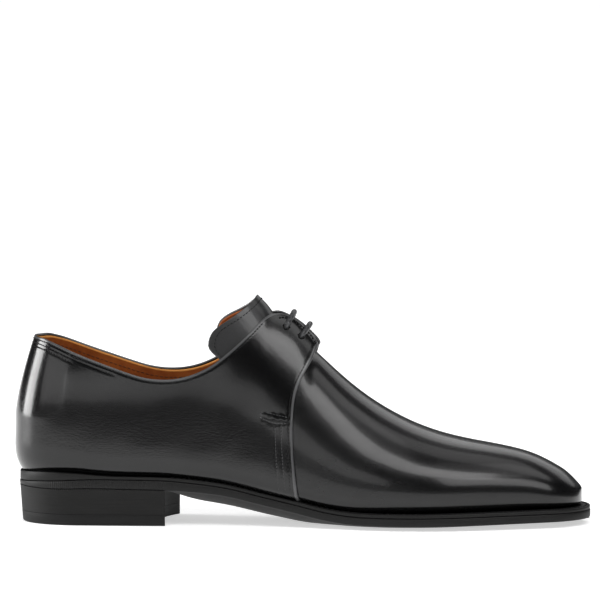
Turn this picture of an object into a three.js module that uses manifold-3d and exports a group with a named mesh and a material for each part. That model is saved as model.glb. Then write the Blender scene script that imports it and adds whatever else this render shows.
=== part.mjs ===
// A man's black leather derby shoe for the right foot, with two pairs of eyelets.
// Units are millimetres. X runs from heel to toe, +Y to the inner side of the foot and Z up.
import * as THREE from "three";
import { mergeVertices } from "three/addons/utils/BufferGeometryUtils.js";
import Module from "manifold-3d";

const wasm = await Module();
wasm.setup();

// The sizes that a last maker would write down.
const soleLength = 310; // outsole, heel edge to toe edge
const ballWidth = 104; // outsole across the joints
const heelSeatHeight = 28; // floor to the welt's top at the heel
const treadHeight = 8.8; // floor to the welt's top at the ball
const instepHeight = 92; // floor to the vamp's ridge at the throat
const lastBack = 1.1; // how far the upper's back stands behind the sole's edge
const lastTipInset = 4.6; // from the sole's toe edge back to the vamp's tip

// The leathers.
const vampWall = 2.2; // vamp leather and its lining
const quarterWall = 2.6; // quarter leather and its lining
const quarterStep = 1.3; // how far a quarter stands proud of the vamp
const tongueWall = 2.2;
const soleThickness = 4.2; // outsole at its edge
const weltThickness = 2.1;
const weltInset = 0.2; // the welt's edge is inside the outsole's edge by this
const insoleRise = 1.5; // the insole's top above the welt's
const topPieceThickness = 6; // rubber under the heel
const heelLiftCount = 3;
const laceDiameter = 3;
const laceGap = 0.6; // between the lace and the flaps
const eyeletDiameter = 3.9;
const gap = 0.3; // between pieces that meet on a curve
const cutPast = 12; // how far a cutting body runs past what it cuts

// The collar, the flaps that carry the eyelets, and the tongue.
const collarBackHeight = 100.2; // floor to the top of the heel's back
const collarDipHeight = 78.8; // lowest point of the outer topline
const innerCollarRise = 1; // the inner topline is this much higher at its dip
const flapTopHeight = 115.6; // rear corner of a flap
const throatGap = 9; // between the two flaps
const throatX = 163.6; // front corner of a flap, from the sole's heel edge
const eyeletFromRidge = 12.5;
const tongueTopHeight = 124;
const tongueDip = 2.4; // how far the tongue sinks under the flaps to make room for the lace

// The heel.
const heelLength = 81.5; // outer side, at the floor
const heelBreastSkew = 3; // the inner side is longer by this
const heelBreastHollow = 7; // depth of the curve in the heel's front face
const thinnestLift = 4; // the highest lift, at the heel's front corners
const heelTaper = 1.6; // the heel's foot is inside its top by this all round

const halfBall = ballWidth / 2;
const lastLength = soleLength + lastBack - lastTipInset;

// The sole, a row for each section from heel to toe. outer and inner are half widths as shares of
// half the ball width, top is the edge's height between the tread and the heel seat, welt and
// thick are the welt's and the outsole's edges as shares of their thicknesses, belly is how far
// the middle of the underside hangs below its edge, as a share of the sole's thickness, and flat
// is the power of the belly's curve across.
const SOLE = [
  { at: 0.0, outer: 0.63, inner: 0.63, top: 0.975, welt: 2.4, thick: 0.55, belly: 0, flat: 2.2 },
  { at: 0.05, outer: 0.64, inner: 0.64, top: 1.04, welt: 2.4, thick: 0.95, belly: 0, flat: 2.2 },
  { at: 0.1, outer: 0.65, inner: 0.65, top: 1.02, welt: 1.75, thick: 1.08, belly: 0, flat: 2.2 },
  { at: 0.165, outer: 0.655, inner: 0.655, top: 0.94, welt: 0.8, thick: 1.15, belly: 0, flat: 2.2 },
  { at: 0.26, outer: 0.645, inner: 0.645, top: 0.92, welt: 0.8, thick: 1.2, belly: 0.35, flat: 2.2 },
  { at: 0.3, outer: 0.625, inner: 0.61, top: 0.865, welt: 0.9, thick: 1.08, belly: 1.5, flat: 2.2 },
  { at: 0.36, outer: 0.605, inner: 0.555, top: 0.76, welt: 1, thick: 1, belly: 1.75, flat: 2.2 },
  { at: 0.43, outer: 0.625, inner: 0.53, top: 0.5, welt: 1, thick: 1, belly: 1.7, flat: 2.3 },
  { at: 0.5, outer: 0.71, inner: 0.61, top: 0.26, welt: 1, thick: 1, belly: 1.6, flat: 2.6 },
  { at: 0.545, outer: 0.785, inner: 0.72, top: 0.1, welt: 1, thick: 1, belly: 1, flat: 3 },
  { at: 0.6, outer: 0.88, inner: 0.85, top: 0.01, welt: 1, thick: 1, belly: 0.6, flat: 4 },
  { at: 0.66, outer: 0.955, inner: 0.99, top: 0, welt: 1, thick: 1, belly: 0.6, flat: 4 },
  { at: 0.72, outer: 0.965, inner: 1.055, top: 0.005, welt: 1, thick: 1, belly: 0.6, flat: 4 },
  { at: 0.78, outer: 0.905, inner: 1.02, top: 0.02, welt: 1, thick: 1, belly: 0.52, flat: 4 },
  { at: 0.84, outer: 0.795, inner: 0.91, top: 0.035, welt: 1, thick: 1, belly: 0.42, flat: 4 },
  { at: 0.9, outer: 0.655, inner: 0.765, top: 0.045, welt: 1, thick: 1, belly: 0.3, flat: 4 },
  { at: 0.95, outer: 0.525, inner: 0.63, top: 0.05, welt: 1, thick: 1, belly: 0.2, flat: 4 },
  { at: 1.0, outer: 0.4, inner: 0.495, top: 0.05, welt: 1, thick: 1, belly: 0.1, flat: 4 },
];
const soleHeelRound = { reach: 0.11 * soleLength, power: 2.15 };
const soleToeRound = { reach: 0.07 * soleLength, power: 2.3 };

// The last, a row for each section. outer and inner are half widths at the widest level as shares
// of half the ball width, crown is the ridge's height as a share of the instep height, widest is
// the height of the widest level as a share of the section, tuck is how far the foot of the wall
// draws in, in shares of half the ball width, and square is the power of the section's curve.
const LAST = [
  { at: 0.0, outer: 0.6, inner: 0.6, crown: 1.31, widest: 0.22, tuck: 0.065, square: 2.0 },
  { at: 0.08, outer: 0.615, inner: 0.615, crown: 1.345, widest: 0.18, tuck: 0.065, square: 2.0 },
  { at: 0.16, outer: 0.63, inner: 0.63, crown: 1.4, widest: 0.14, tuck: 0.065, square: 2.0 },
  { at: 0.24, outer: 0.635, inner: 0.63, crown: 1.46, widest: 0.12, tuck: 0.07, square: 1.95 },
  { at: 0.31, outer: 0.635, inner: 0.605, crown: 1.51, widest: 0.115, tuck: 0.085, square: 1.9 },
  { at: 0.37, outer: 0.645, inner: 0.585, crown: 1.49, widest: 0.115, tuck: 0.095, square: 1.88 },
  { at: 0.425, outer: 0.665, inner: 0.585, crown: 1.37, widest: 0.12, tuck: 0.095, square: 1.88 },
  { at: 0.455, outer: 0.69, inner: 0.61, crown: 1.267, widest: 0.125, tuck: 0.09, square: 1.9 },
  { at: 0.5, outer: 0.735, inner: 0.67, crown: 1.1, widest: 0.135, tuck: 0.085, square: 1.92 },
  { at: 0.54, outer: 0.785, inner: 0.74, crown: 0.974, widest: 0.145, tuck: 0.075, square: 1.95 },
  { at: 0.6, outer: 0.855, inner: 0.855, crown: 0.792, widest: 0.165, tuck: 0.06, square: 2.0 },
  { at: 0.66, outer: 0.895, inner: 0.945, crown: 0.656, widest: 0.2, tuck: 0.05, square: 2.05 },
  { at: 0.73, outer: 0.885, inner: 0.975, crown: 0.548, widest: 0.23, tuck: 0.045, square: 2.1 },
  { at: 0.79, outer: 0.815, inner: 0.925, crown: 0.493, widest: 0.25, tuck: 0.04, square: 2.2 },
  { at: 0.85, outer: 0.7, inner: 0.81, crown: 0.457, widest: 0.27, tuck: 0.04, square: 2.25 },
  { at: 0.91, outer: 0.56, inner: 0.67, crown: 0.412, widest: 0.28, tuck: 0.04, square: 2.25 },
  { at: 0.955, outer: 0.45, inner: 0.555, crown: 0.34, widest: 0.28, tuck: 0.04, square: 2.15 },
  { at: 1.0, outer: 0.34, inner: 0.445, crown: 0.245, widest: 0.3, tuck: 0.04, square: 2.1 },
];
const lastHeelRound = { reach: 0.105 * soleLength, power: 2.15 };
const lastToeRound = { reach: 0.06 * soleLength, power: 2.3 };
const crownToeReach = 0.035 * soleLength; // the ridge rounds down over this length at the tip
const crownTipHeight = 0.2 * instepHeight;
const tuckPower = 2.4; // how sharply the foot of the wall turns in
const backLean = { from: 0.58, most: 10.2, power: 1.35, reach: 0.24 }; // the back of the heel leans in

// Curves through a table's column, with no overshoot between the rows.
function curveThrough(rows, column) {
  const x = rows.map((row) => row.at);
  const y = rows.map((row) => row[column]);
  const rise = x.slice(1).map((_, i) => (y[i + 1] - y[i]) / (x[i + 1] - x[i]));
  const slope = y.map((_, i) => {
    if (i === 0) return rise[0];
    if (i === y.length - 1) return rise[i - 1];
    return rise[i - 1] * rise[i] <= 0 ? 0 : (2 * rise[i - 1] * rise[i]) / (rise[i - 1] + rise[i]);
  });
  return (at) => {
    const i = Math.max(0, x.findLastIndex((v, k) => v <= at && k < x.length - 1));
    const width = x[i + 1] - x[i];
    const t = THREE.MathUtils.clamp((at - x[i]) / width, 0, 1);
    const [t2, t3] = [t * t, t * t * t];
    return (
      (2 * t3 - 3 * t2 + 1) * y[i] +
      (t3 - 2 * t2 + t) * width * slope[i] +
      (3 * t2 - 2 * t3) * y[i + 1] +
      (t3 - t2) * width * slope[i + 1]
    );
  };
}

const curvesOf = (rows) =>
  Object.fromEntries(Object.keys(rows[0]).map((name) => [name, curveThrough(rows, name)]));
const sole = curvesOf(SOLE);
const last = curvesOf(LAST);

// 0 at an end of an outline, rising to 1 over the round's reach.
const roundEnd = (distance, reach, power) =>
  Math.pow(1 - Math.pow(Math.max(0, 1 - Math.max(0, distance) / reach), power), 1 / power);

// Height of the welt's top at x.
const edgeTop = (x) => {
  const share = sole.top(THREE.MathUtils.clamp(x / soleLength, 0, 1));
  return treadHeight + share * (heelSeatHeight - treadHeight);
};

// Heights of the welt's underside, the outsole's top and the outsole's lower edge at x.
const soleShare = (x) => THREE.MathUtils.clamp(x / soleLength, 0, 1);
const weltBottom = (x) => edgeTop(x) - sole.welt(soleShare(x)) * weltThickness;
const outsoleTop = (x) => weltBottom(x) - gap;
const outsoleBottom = (x) => outsoleTop(x) - sole.thick(soleShare(x)) * soleThickness;

// Half widths of an outline as {middle, half} at a share of its length, with round ends.
function spread(curves, at, length, heelRound, toeRound, grow) {
  const outer = curves.outer(at) * halfBall;
  const inner = curves.inner(at) * halfBall;
  const ends =
    roundEnd(at * length, heelRound.reach + grow, heelRound.power) *
    roundEnd((1 - at) * length, toeRound.reach + grow, toeRound.power);
  return { middle: (inner - outer) / 2, half: ((inner + outer) / 2 + grow) * ends };
}

// Shares of a length: even in the middle, and at each round end spaced by equal turns round it.
function stations(length, heelRound, toeRound, middleCount = 24, endCount = 7) {
  const endShares = ({ reach, power }) =>
    Array.from({ length: endCount }, (_, i) => {
      const turn = (i / endCount) * (Math.PI / 2);
      return ((1 - Math.pow(Math.cos(turn), 2 / power)) * reach) / length;
    });
  const from = heelRound.reach / length;
  const to = 1 - toeRound.reach / length;
  const middle = Array.from({ length: middleCount + 1 }, (_, i) => from + ((to - from) * i) / middleCount);
  const toeShares = endShares(toeRound).map((share) => 1 - share);
  return [...endShares(heelRound), ...middle, ...toeShares.reverse()];
}

// A closed solid from rings of points, one ring for each station. An end ring may lie on a line.
function solidFromRings(rings) {
  const size = rings[0].length;
  const index = [];
  for (let i = 0; i + 1 < rings.length; i++)
    for (let k = 0; k < size; k++) {
      const [a, b] = [i * size + k, i * size + ((k + 1) % size)];
      index.push(a, b, b + size, a, b + size, a + size);
    }
  return solidFromTriangles(rings.flat(), index);
}

// Merges equal points, drops triangles that merged away and makes the solid, whichever way it is wound.
function solidFromTriangles(points, index) {
  const raw = new THREE.BufferGeometry().setFromPoints(points).setIndex(index);
  const merged = mergeVertices(raw, 1e-3);
  const found = merged.index.array;
  const triangles = [];
  for (let i = 0; i < found.length; i += 3) {
    const [a, b, c] = found.slice(i, i + 3);
    if (a !== b && b !== c && c !== a) triangles.push(a, b, c);
  }
  const build = (list) =>
    new wasm.Manifold(
      new wasm.Mesh({
        numProp: 3,
        vertProperties: merged.attributes.position.array,
        triVerts: new Uint32Array(list),
      }),
    );
  const made = build(triangles);
  return made.volume() > 0 ? made : build(triangles.reverse());
}

function solidFromGeometry(geometry) {
  const plain = geometry.index ? geometry.toNonIndexed() : geometry;
  const points = [];
  for (let i = 0; i < plain.attributes.position.count; i++)
    points.push(new THREE.Vector3().fromBufferAttribute(plain.attributes.position, i));
  return solidFromTriangles(points, points.map((_, i) => i));
}

// One section of the last at a share of its length. grow moves the surface outwards, and lift
// raises the ridge alone, as the flaps of the quarters stand off the instep.
function lastSection(at, grow) {
  const length = lastLength + 2 * grow;
  const x = -lastBack - grow + at * length;
  const { middle, half } = spread(last, at, length, lastHeelRound, lastToeRound, grow);
  const foot = edgeTop(x) + gap;
  const ridge = last.crown(at) * instepHeight;
  const ridgeAhead = last.crown(Math.min(1, at + 0.01)) * instepHeight;
  const ridgeBehind = last.crown(Math.max(0, at - 0.01)) * instepHeight;
  const steepness = Math.hypot(1, (ridgeAhead - ridgeBehind) / (0.02 * lastLength));
  const toeRound = roundEnd((1 - at) * length, crownToeReach + grow, 2);
  const crown = crownTipHeight + (ridge - crownTipHeight + grow * steepness) * toeRound;
  return { x, middle, half, foot, crown };
}

// A point on the last. side is -1 on the outer side and 1 on the inner, and level runs from -1 at
// the foot of the wall through 0 at its widest to 1 on the ridge.
function lastPoint(at, side, level, grow, lift) {
  const section = lastSection(at, grow);
  const step = 1e-3;
  const ahead = lastSection(Math.min(1, at + step), grow);
  const behind = lastSection(Math.max(0, at - step), grow);
  const edge = (s) => s.middle + side * s.half;
  const along = new THREE.Vector2(ahead.x - behind.x, edge(ahead) - edge(behind)).normalize();
  const outward = new THREE.Vector2(-along.y * side, along.x * side);
  if (at < step) outward.set(-1, 0);
  if (at > 1 - step) outward.set(1, 0);
  const widest = last.widest(at);
  const height = section.crown - section.foot;
  let { x } = section;
  let y = edge(section);
  let z;
  if (level <= 0) {
    const tuck = last.tuck(at) * halfBall * Math.pow(-level, tuckPower);
    x -= outward.x * tuck;
    y -= outward.y * tuck;
    z = section.foot + widest * height * (1 + level);
  } else {
    const power = 2 / last.square(at);
    const turn = (level * Math.PI) / 2;
    const across = level === 1 ? 0 : Math.pow(Math.cos(turn), power);
    const up = Math.pow(Math.sin(turn), power);
    y = section.middle + side * section.half * across;
    z = section.foot + height * (widest + (1 - widest) * up) + lift(at) * Math.pow(up, 4);
  }
  const leanStart = backLean.from * collarBackHeight;
  const leanRise = Math.max(0, (z - leanStart) / (collarBackHeight - leanStart));
  const leanShare = Math.pow(Math.max(0, 1 - at / backLean.reach), 2);
  x += backLean.most * Math.pow(leanRise, backLean.power) * leanShare;
  return new THREE.Vector3(x, y, z);
}

const noLift = () => 0;
const lastStations = stations(lastLength, lastHeelRound, lastToeRound);
const wallLevels = [-1, -0.6, -0.25, 0.02, 0.14, 0.27, 0.4, 0.53, 0.66, 0.78, 0.9];

// The last as a closed solid, grown by grow, its underside lowered by drop.
function lastBody(grow, { drop = 0, lift = noLift, along = lastStations } = {}) {
  const rings = along.map((at) => {
    const side = (way) => wallLevels.map((level) => lastPoint(at, way, level, grow, lift));
    const [outer, inner] = [side(-1), side(1).reverse()];
    const under = (p) => new THREE.Vector3(p.x, p.y, p.z - drop);
    const ring = [...outer, lastPoint(at, 1, 1, grow, lift), ...inner];
    return drop ? [under(outer[0]), ...ring, under(inner.at(-1))] : ring;
  });
  return solidFromRings(rings);
}

// A prism across the shoe from an outline in the side view. way is -1 for the outer half and 1
// for the inner.
function sidePrism(outline, way) {
  const depth = ballWidth;
  const geometry = new THREE.ExtrudeGeometry(outline, { depth, bevelEnabled: false, curveSegments: 4 });
  geometry.rotateX(Math.PI / 2).translate(0, way > 0 ? depth : 0, 0);
  return solidFromGeometry(geometry);
}

const point = (x, z) => new THREE.Vector2(x, z);

// The topline and the front edge of a quarter in the side view. rise lifts its dip.
function quarterOutline(rise) {
  const dip = collarDipHeight + rise;
  const drop = collarBackHeight - dip;
  const climb = flapTopHeight - dip;
  const outline = new THREE.Shape();
  outline.moveTo(-20, 0);
  outline.lineTo(-20, collarBackHeight + 4);
  outline.lineTo(8.5, collarBackHeight + 0.2);
  outline.splineThru([
    point(12, dip + 0.99 * drop),
    point(20.5, dip + 0.875 * drop),
    point(35, dip + 0.6 * drop),
    point(56.5, dip + 0.235 * drop),
    point(70, dip + 0.045 * drop),
    point(82, dip),
    point(93, dip + 0.045 * climb),
    point(103.5, dip + 0.16 * climb),
    point(112, dip + 0.315 * climb),
    point(124, dip + 0.6 * climb),
    point(135, dip + 0.9 * climb),
    point(140.5, dip + climb),
  ]);
  outline.lineTo(142, dip + climb + 14);
  outline.lineTo(throatX - 1.5, dip + climb + 2);
  outline.splineThru([
    point(throatX, 1.095 * instepHeight),
    point(throatX - 1.3, 1.045 * instepHeight),
    point(throatX - 4, 0.973 * instepHeight),
    point(throatX - 7.8, 0.9 * instepHeight),
    point(throatX - 10.9, 0.82 * instepHeight),
    point(throatX - 12.6, 0.73 * instepHeight),
    point(throatX - 13.1, 0.58 * instepHeight),
    point(throatX - 12.7, 0.42 * instepHeight),
    point(throatX - 12, 0.34 * instepHeight),
    point(throatX - 11.2, 0.2 * instepHeight),
  ]);
  outline.lineTo(throatX - 11, 0);
  outline.closePath();
  return outline;
}

// Everything behind the vamp's hidden rear edge, moved back by back.
function behindVamp(back) {
  const outline = new THREE.Shape();
  outline.moveTo(-40, -20);
  outline.lineTo(-40, 2 * instepHeight);
  outline.lineTo(throatX - 5 - back, 2 * instepHeight);
  outline.lineTo(throatX - 5 - back, 0.95 * instepHeight);
  outline.lineTo(throatX - 20 - back, 0.7 * instepHeight);
  outline.lineTo(throatX - 32 - back, 0.4 * instepHeight);
  outline.lineTo(throatX - 34 - back, -20);
  outline.closePath();
  return outline;
}

// The opening between the two flaps, in plan: narrow along the facings and wider round their corners.
function throatSlot() {
  const ridge = lastSection(shareAt(throatX - 10), 0).middle;
  const half = throatGap / 2;
  const outline = new THREE.Shape();
  outline.moveTo(throatX - 32, ridge - 4.2 * half);
  outline.quadraticCurveTo(throatX - 22, ridge - half, throatX - 15, ridge - half);
  outline.lineTo(throatX - 6, ridge - half);
  outline.quadraticCurveTo(throatX - 0.5, ridge - half, throatX + 1, ridge - 2.6 * half);
  outline.lineTo(throatX + 1, ridge + 2.6 * half);
  outline.quadraticCurveTo(throatX - 0.5, ridge + half, throatX - 6, ridge + half);
  outline.lineTo(throatX - 15, ridge + half);
  outline.quadraticCurveTo(throatX - 22, ridge + half, throatX - 32, ridge + 4.2 * half);
  outline.closePath();
  const settings = { depth: instepHeight, bevelEnabled: false, curveSegments: 5 };
  const slot = new THREE.ExtrudeGeometry(outline, settings);
  return solidFromGeometry(slot.translate(0, 0, 0.75 * instepHeight));
}

// The share of the last's length at which its section stands at x.
const shareAt = (x, grow = 0) => (x + lastBack + grow) / (lastLength + 2 * grow);

// The quarters rise off the instep over a short length, so their sections stand closer there.
const flapRise = { from: throatX - 28, to: throatX - 8, height: 7.2 };
const flapLift = (at) =>
  flapRise.height * THREE.MathUtils.smoothstep(at * lastLength - lastBack, flapRise.from, flapRise.to);
const flapStations = [0.1, 0.3, 0.5, 0.7, 0.9, 1.1, 1.3].map((share) =>
  shareAt(THREE.MathUtils.lerp(flapRise.from, flapRise.to, share)),
);
const quarterStations = [...lastStations, ...flapStations].sort((a, b) => a - b);

// The point of the quarter's outer surface over the instep, at x and a distance from the ridge.
function flapPoint(x, fromRidge) {
  const at = shareAt(x, quarterStep);
  const across = Math.abs(fromRidge) / lastSection(at, quarterStep).half;
  const level = Math.acos(Math.pow(across, last.square(at) / 2)) / (Math.PI / 2);
  return lastPoint(at, Math.sign(fromRidge) || 1, level, quarterStep, flapLift);
}

const eyeletX = [throatX - 17.6, throatX - 9.4];

// A straight bar of round section from one point to another.
function rod(from, to, diameter, sides = 16) {
  const path = new THREE.LineCurve3(from, to);
  const section = new THREE.Shape().absarc(0, 0, diameter / 2, 0, 2 * Math.PI);
  const points = section.getSpacedPoints(sides).slice(0, sides);
  const outline = new THREE.Shape(points);
  return solidFromGeometry(new THREE.ExtrudeGeometry(outline, { steps: 1, extrudePath: path }));
}

// A place on the flap's outer surface, at x and a distance from the ridge, and the direction out of it.
function flapPlace(x, fromRidge) {
  const here = flapPoint(x, fromRidge);
  const ahead = flapPoint(x + 1, fromRidge);
  const across = flapPoint(x, fromRidge + 1);
  const out = new THREE.Vector3().crossVectors(ahead.sub(here), across.sub(here)).normalize();
  return { here, out };
}

const eyelet = (x, way) => flapPlace(x, way * eyeletFromRidge);

function makeUpper() {
  const vampShell = lastBody(0).subtract(lastBody(-vampWall, { drop: cutPast }));
  const vamp = vampShell.subtract(sidePrism(behindVamp(0), -1)).subtract(sidePrism(behindVamp(0), 1));
  const shape = { lift: flapLift, along: quarterStations };
  const quarterShell = lastBody(quarterStep, shape).subtract(
    lastBody(quarterStep - quarterWall, { ...shape, drop: cutPast }),
  );
  const quarters = quarterShell
    .intersect(sidePrism(quarterOutline(0), -1).add(sidePrism(quarterOutline(innerCollarRise), 1)))
    .subtract(throatSlot());
  let upper = quarters.add(vamp);
  for (const x of eyeletX)
    for (const way of [-1, 1]) {
      const { here, out } = eyelet(x, way);
      const reach = 2.2 * quarterWall;
      const ends = [here.clone().addScaledVector(out, -reach), here.clone().addScaledVector(out, reach)];
      upper = upper.subtract(rod(...ends, eyeletDiameter));
    }
  return upper;
}

// The tongue lies inside the quarters and sinks a little under the flaps.
function makeTongue() {
  const outside = quarterStep - quarterWall - gap;
  const lift = (at) =>
    -tongueDip * THREE.MathUtils.smoothstep(at * lastLength - lastBack, throatX - 30, throatX - 20);
  const shape = { lift, along: quarterStations };
  const shell = lastBody(outside, shape).subtract(lastBody(outside - tongueWall, { ...shape, drop: cutPast }));
  const outline = new THREE.Shape();
  outline.moveTo(throatX - 33.6, 1.05 * tongueTopHeight);
  outline.lineTo(throatX - 34.2, 1.0 * tongueTopHeight);
  outline.splineThru([
    point(throatX - 44, 0.945 * tongueTopHeight),
    point(throatX - 54.2, 0.875 * tongueTopHeight),
    point(throatX - 58, 0.835 * tongueTopHeight),
    point(throatX - 59.2, 0.79 * tongueTopHeight),
    point(throatX - 53, 0.72 * tongueTopHeight),
    point(throatX - 42, 0.62 * tongueTopHeight),
    point(throatX - 24, 0.5 * tongueTopHeight),
  ]);
  outline.lineTo(throatX + 5, 0.5 * tongueTopHeight);
  outline.lineTo(throatX + 5, 1.05 * tongueTopHeight);
  outline.closePath();
  const region = sidePrism(outline, -1).add(sidePrism(outline, 1));
  const keep = sidePrism(behindVamp(gap), -1).add(sidePrism(behindVamp(gap), 1));
  return shell.intersect(region).intersect(keep);
}

const soleStations = stations(soleLength, soleHeelRound, soleToeRound);

// The sole's edge at a share of its length.
function soleEdge(at, inset = 0) {
  const x = inset + at * (soleLength - 2 * inset);
  const { middle, half } = spread(sole, at, soleLength - 2 * inset, soleHeelRound, soleToeRound, -inset);
  return { x, middle, half };
}

// The outsole's underside at a section: how far it hangs below the edge at a share of the half width.
const hangAt = (at, share) =>
  sole.belly(at) * soleThickness * (1 - Math.pow(Math.min(1, Math.abs(share)), sole.flat(at)));
const crossShares = [-0.97, -0.84, -0.62, -0.32, 0, 0.32, 0.62, 0.84, 0.97];

// The outsole: its top follows the welt, and it is rounded below and flat where it treads.
function makeOutsole() {
  const cornerRise = 0.6;
  const rings = soleStations.map((at) => {
    const { x, middle, half } = soleEdge(at);
    const top = outsoleTop(x);
    const below = (share, rise = 0) => {
      const z = outsoleBottom(x) - hangAt(at, share) + rise;
      return new THREE.Vector3(x, middle + share * half, Math.max(0, z));
    };
    const bottom = [below(-1, cornerRise), ...crossShares.map((share) => below(share)), below(1, cornerRise)];
    const above = [1, -1].map((share) => new THREE.Vector3(x, middle + share * half, top));
    return [...bottom, ...above];
  });
  return solidFromRings(rings);
}

// The foot of the upper's wall at a section, on the outer and the inner side.
const footAt = (at, grow) => [-1, 1].map((side) => lastPoint(at, side, -1, grow, noLift));

// The welt: a strip from the sole's edge in to the upper's inner wall.
function makeWelt() {
  const plate = (edge) =>
    solidFromRings(
      soleStations.map((at) => {
        const [outer, inner] = edge(at);
        const level = (p, z) => new THREE.Vector3(p.x, p.y, z);
        return [
          level(outer, weltBottom(outer.x)),
          level(outer, edgeTop(outer.x)),
          level(inner, edgeTop(inner.x)),
          level(inner, weltBottom(inner.x)),
        ];
      }),
    );
  const outside = plate((at) => {
    const { x, middle, half } = soleEdge(at, weltInset);
    return [-1, 1].map((side) => new THREE.Vector3(x, middle + side * half, 0));
  });
  const hole = lastStations.map((at) => {
    const [outer, inner] = footAt(at, -vampWall);
    const level = (p, up) => new THREE.Vector3(p.x, p.y, edgeTop(p.x) + up);
    return [
      level(outer, -cutPast),
      level(outer, cutPast),
      level(inner, cutPast),
      level(inner, -cutPast),
    ];
  });
  return outside.subtract(solidFromRings(hole));
}

// The insole fills the welt's opening and carries the foot.
function makeInsole() {
  const rings = lastStations.map((at) => {
    const [outer, inner] = footAt(at, -vampWall - gap);
    const base = weltBottom(outer.x);
    const top = edgeTop(outer.x) + insoleRise;
    const level = (p, z) => new THREE.Vector3(p.x, p.y, z);
    return [level(outer, base), level(outer, top), level(inner, top), level(inner, base)];
  });
  return solidFromRings(rings);
}

// A lift's outline in plan, drawn in by inset, with the hollow front face.
function heelOutline(inset) {
  const side = (way) =>
    soleStations
      .map((at) => ({ at, ...soleEdge(at, inset) }))
      .filter(({ x }) => x < heelLength - 4)
      .map(({ x, middle, half }) => point(x, middle + way * half));
  const frontAt = (way) => {
    const x = heelLength + (way > 0 ? heelBreastSkew : 0);
    const { middle, half } = soleEdge(x / soleLength, inset);
    return point(x, middle + way * half);
  };
  const [outerCorner, innerCorner] = [frontAt(-1), frontAt(1)];
  const breast = [0.2, 0.4, 0.6, 0.8].map((t) => {
    const across = outerCorner.clone().lerp(innerCorner, t);
    across.x -= heelBreastHollow * 4 * t * (1 - t);
    return across;
  });
  const outerSide = side(-1);
  const innerSide = side(1).slice(1).reverse();
  return new THREE.Shape([...outerSide, outerCorner, ...breast, innerCorner, ...innerSide]);
}

// The heel from the floor up: a rubber top piece, flat leather lifts, and a last one cut to the sole.
function makeHeel() {
  const stackTop = Math.max(outsoleBottom(0), outsoleBottom(heelLength / 2));
  const flatTop = outsoleBottom(heelLength + heelBreastSkew) - thinnestLift;
  const liftThickness = (flatTop - topPieceThickness) / (heelLiftCount - 1);
  const layers = [{ name: "heel_top_piece", from: 0, to: topPieceThickness }];
  for (let i = 0; i < heelLiftCount; i++) {
    const from = topPieceThickness + i * liftThickness;
    const highest = i === heelLiftCount - 1;
    layers.push({ name: `heel_lift_${i + 1}`, from, to: highest ? stackTop + 1 : from + liftThickness, highest });
  }
  return layers.map(({ name, from, to, highest }) => {
    const inset = heelTaper * (1 - (from + to) / 2 / stackTop);
    const geometry = new THREE.ExtrudeGeometry(heelOutline(Math.max(0, inset)), {
      depth: to - from,
      bevelEnabled: false,
    });
    const lift = solidFromGeometry(geometry.translate(0, 0, from));
    return { name, solid: highest ? lift.subtract(soleSpace()) : lift };
  });
}

// The space that the outsole takes, with a gap below it, to seat the heel. It is drawn from
// behind the heel to well past its front.
function soleSpace() {
  const wide = 1.3 * halfBall;
  const rings = [-0.05, ...soleStations.filter((at) => at < 0.4)].map((at) => {
    const along = Math.max(0, at);
    const { middle, half } = soleEdge(Math.max(along, soleHeelRound.reach / soleLength));
    const bottom = outsoleBottom(along * soleLength) - gap;
    const place = (y, z) => new THREE.Vector3(at * soleLength, y, z);
    const under = (share) => place(middle + share * half, bottom - hangAt(along, share));
    const ends = [-1, 1].map((way) => place(way * wide, bottom));
    const above = [1, -1].map((way) => place(way * wide, bottom + 2 * heelSeatHeight));
    return [ends[0], ...crossShares.map(under), ends[1], ...above];
  });
  const closed = (ring) => ring.map((p) => new THREE.Vector3(p.x, 0, p.z));
  return solidFromRings([closed(rings[0]), ...rings, closed(rings.at(-1))]);
}

// A path along straight stretches whose corners are rounded off by radius.
function roundedPath(corners, radius) {
  const path = new THREE.CurvePath();
  let from = corners[0];
  for (let i = 1; i + 1 < corners.length; i++) {
    const [before, corner, after] = [corners[i - 1], corners[i], corners[i + 1]];
    const enter = corner.clone().addScaledVector(before.clone().sub(corner).normalize(), radius);
    const leave = corner.clone().addScaledVector(after.clone().sub(corner).normalize(), radius);
    path.add(new THREE.LineCurve3(from, enter));
    path.add(new THREE.QuadraticBezierCurve3(enter, corner, leave));
    from = leave;
  }
  path.add(new THREE.LineCurve3(from, corners.at(-1)));
  return path;
}

// The lace: two bars across the throat, joined by runs that are hidden under the flaps. Both of
// its ends stop under the outer flap's upper eyelet.
function makeLace() {
  const over = laceDiameter / 2 + laceGap;
  const under = quarterWall + over;
  const bar = (x, way) => {
    const places = [-1, -0.5, 0, 0.5, 1].map((share) => flapPlace(x, way * share * eyeletFromRidge));
    const below = ({ here, out }) => here.clone().addScaledVector(out, -under);
    const above = places.map(({ here, out }) => here.clone().addScaledVector(out, over));
    return [below(places[0]), ...above, below(places.at(-1))];
  };
  const upperBar = bar(eyeletX[0], 1);
  const lowerBar = bar(eyeletX[1], -1);
  const tail = lowerBar.at(-1).clone().lerp(upperBar[0], 0.45);
  const route = [...upperBar, ...lowerBar, tail];
  const section = new THREE.Shape().absarc(0, 0, laceDiameter / 2, 0, 2 * Math.PI);
  const outline = new THREE.Shape(section.getSpacedPoints(8).slice(0, 8));
  const extrudePath = roundedPath(route, 0.7 * laceDiameter);
  return solidFromGeometry(new THREE.ExtrudeGeometry(outline, { steps: 72, extrudePath }));
}

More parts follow.
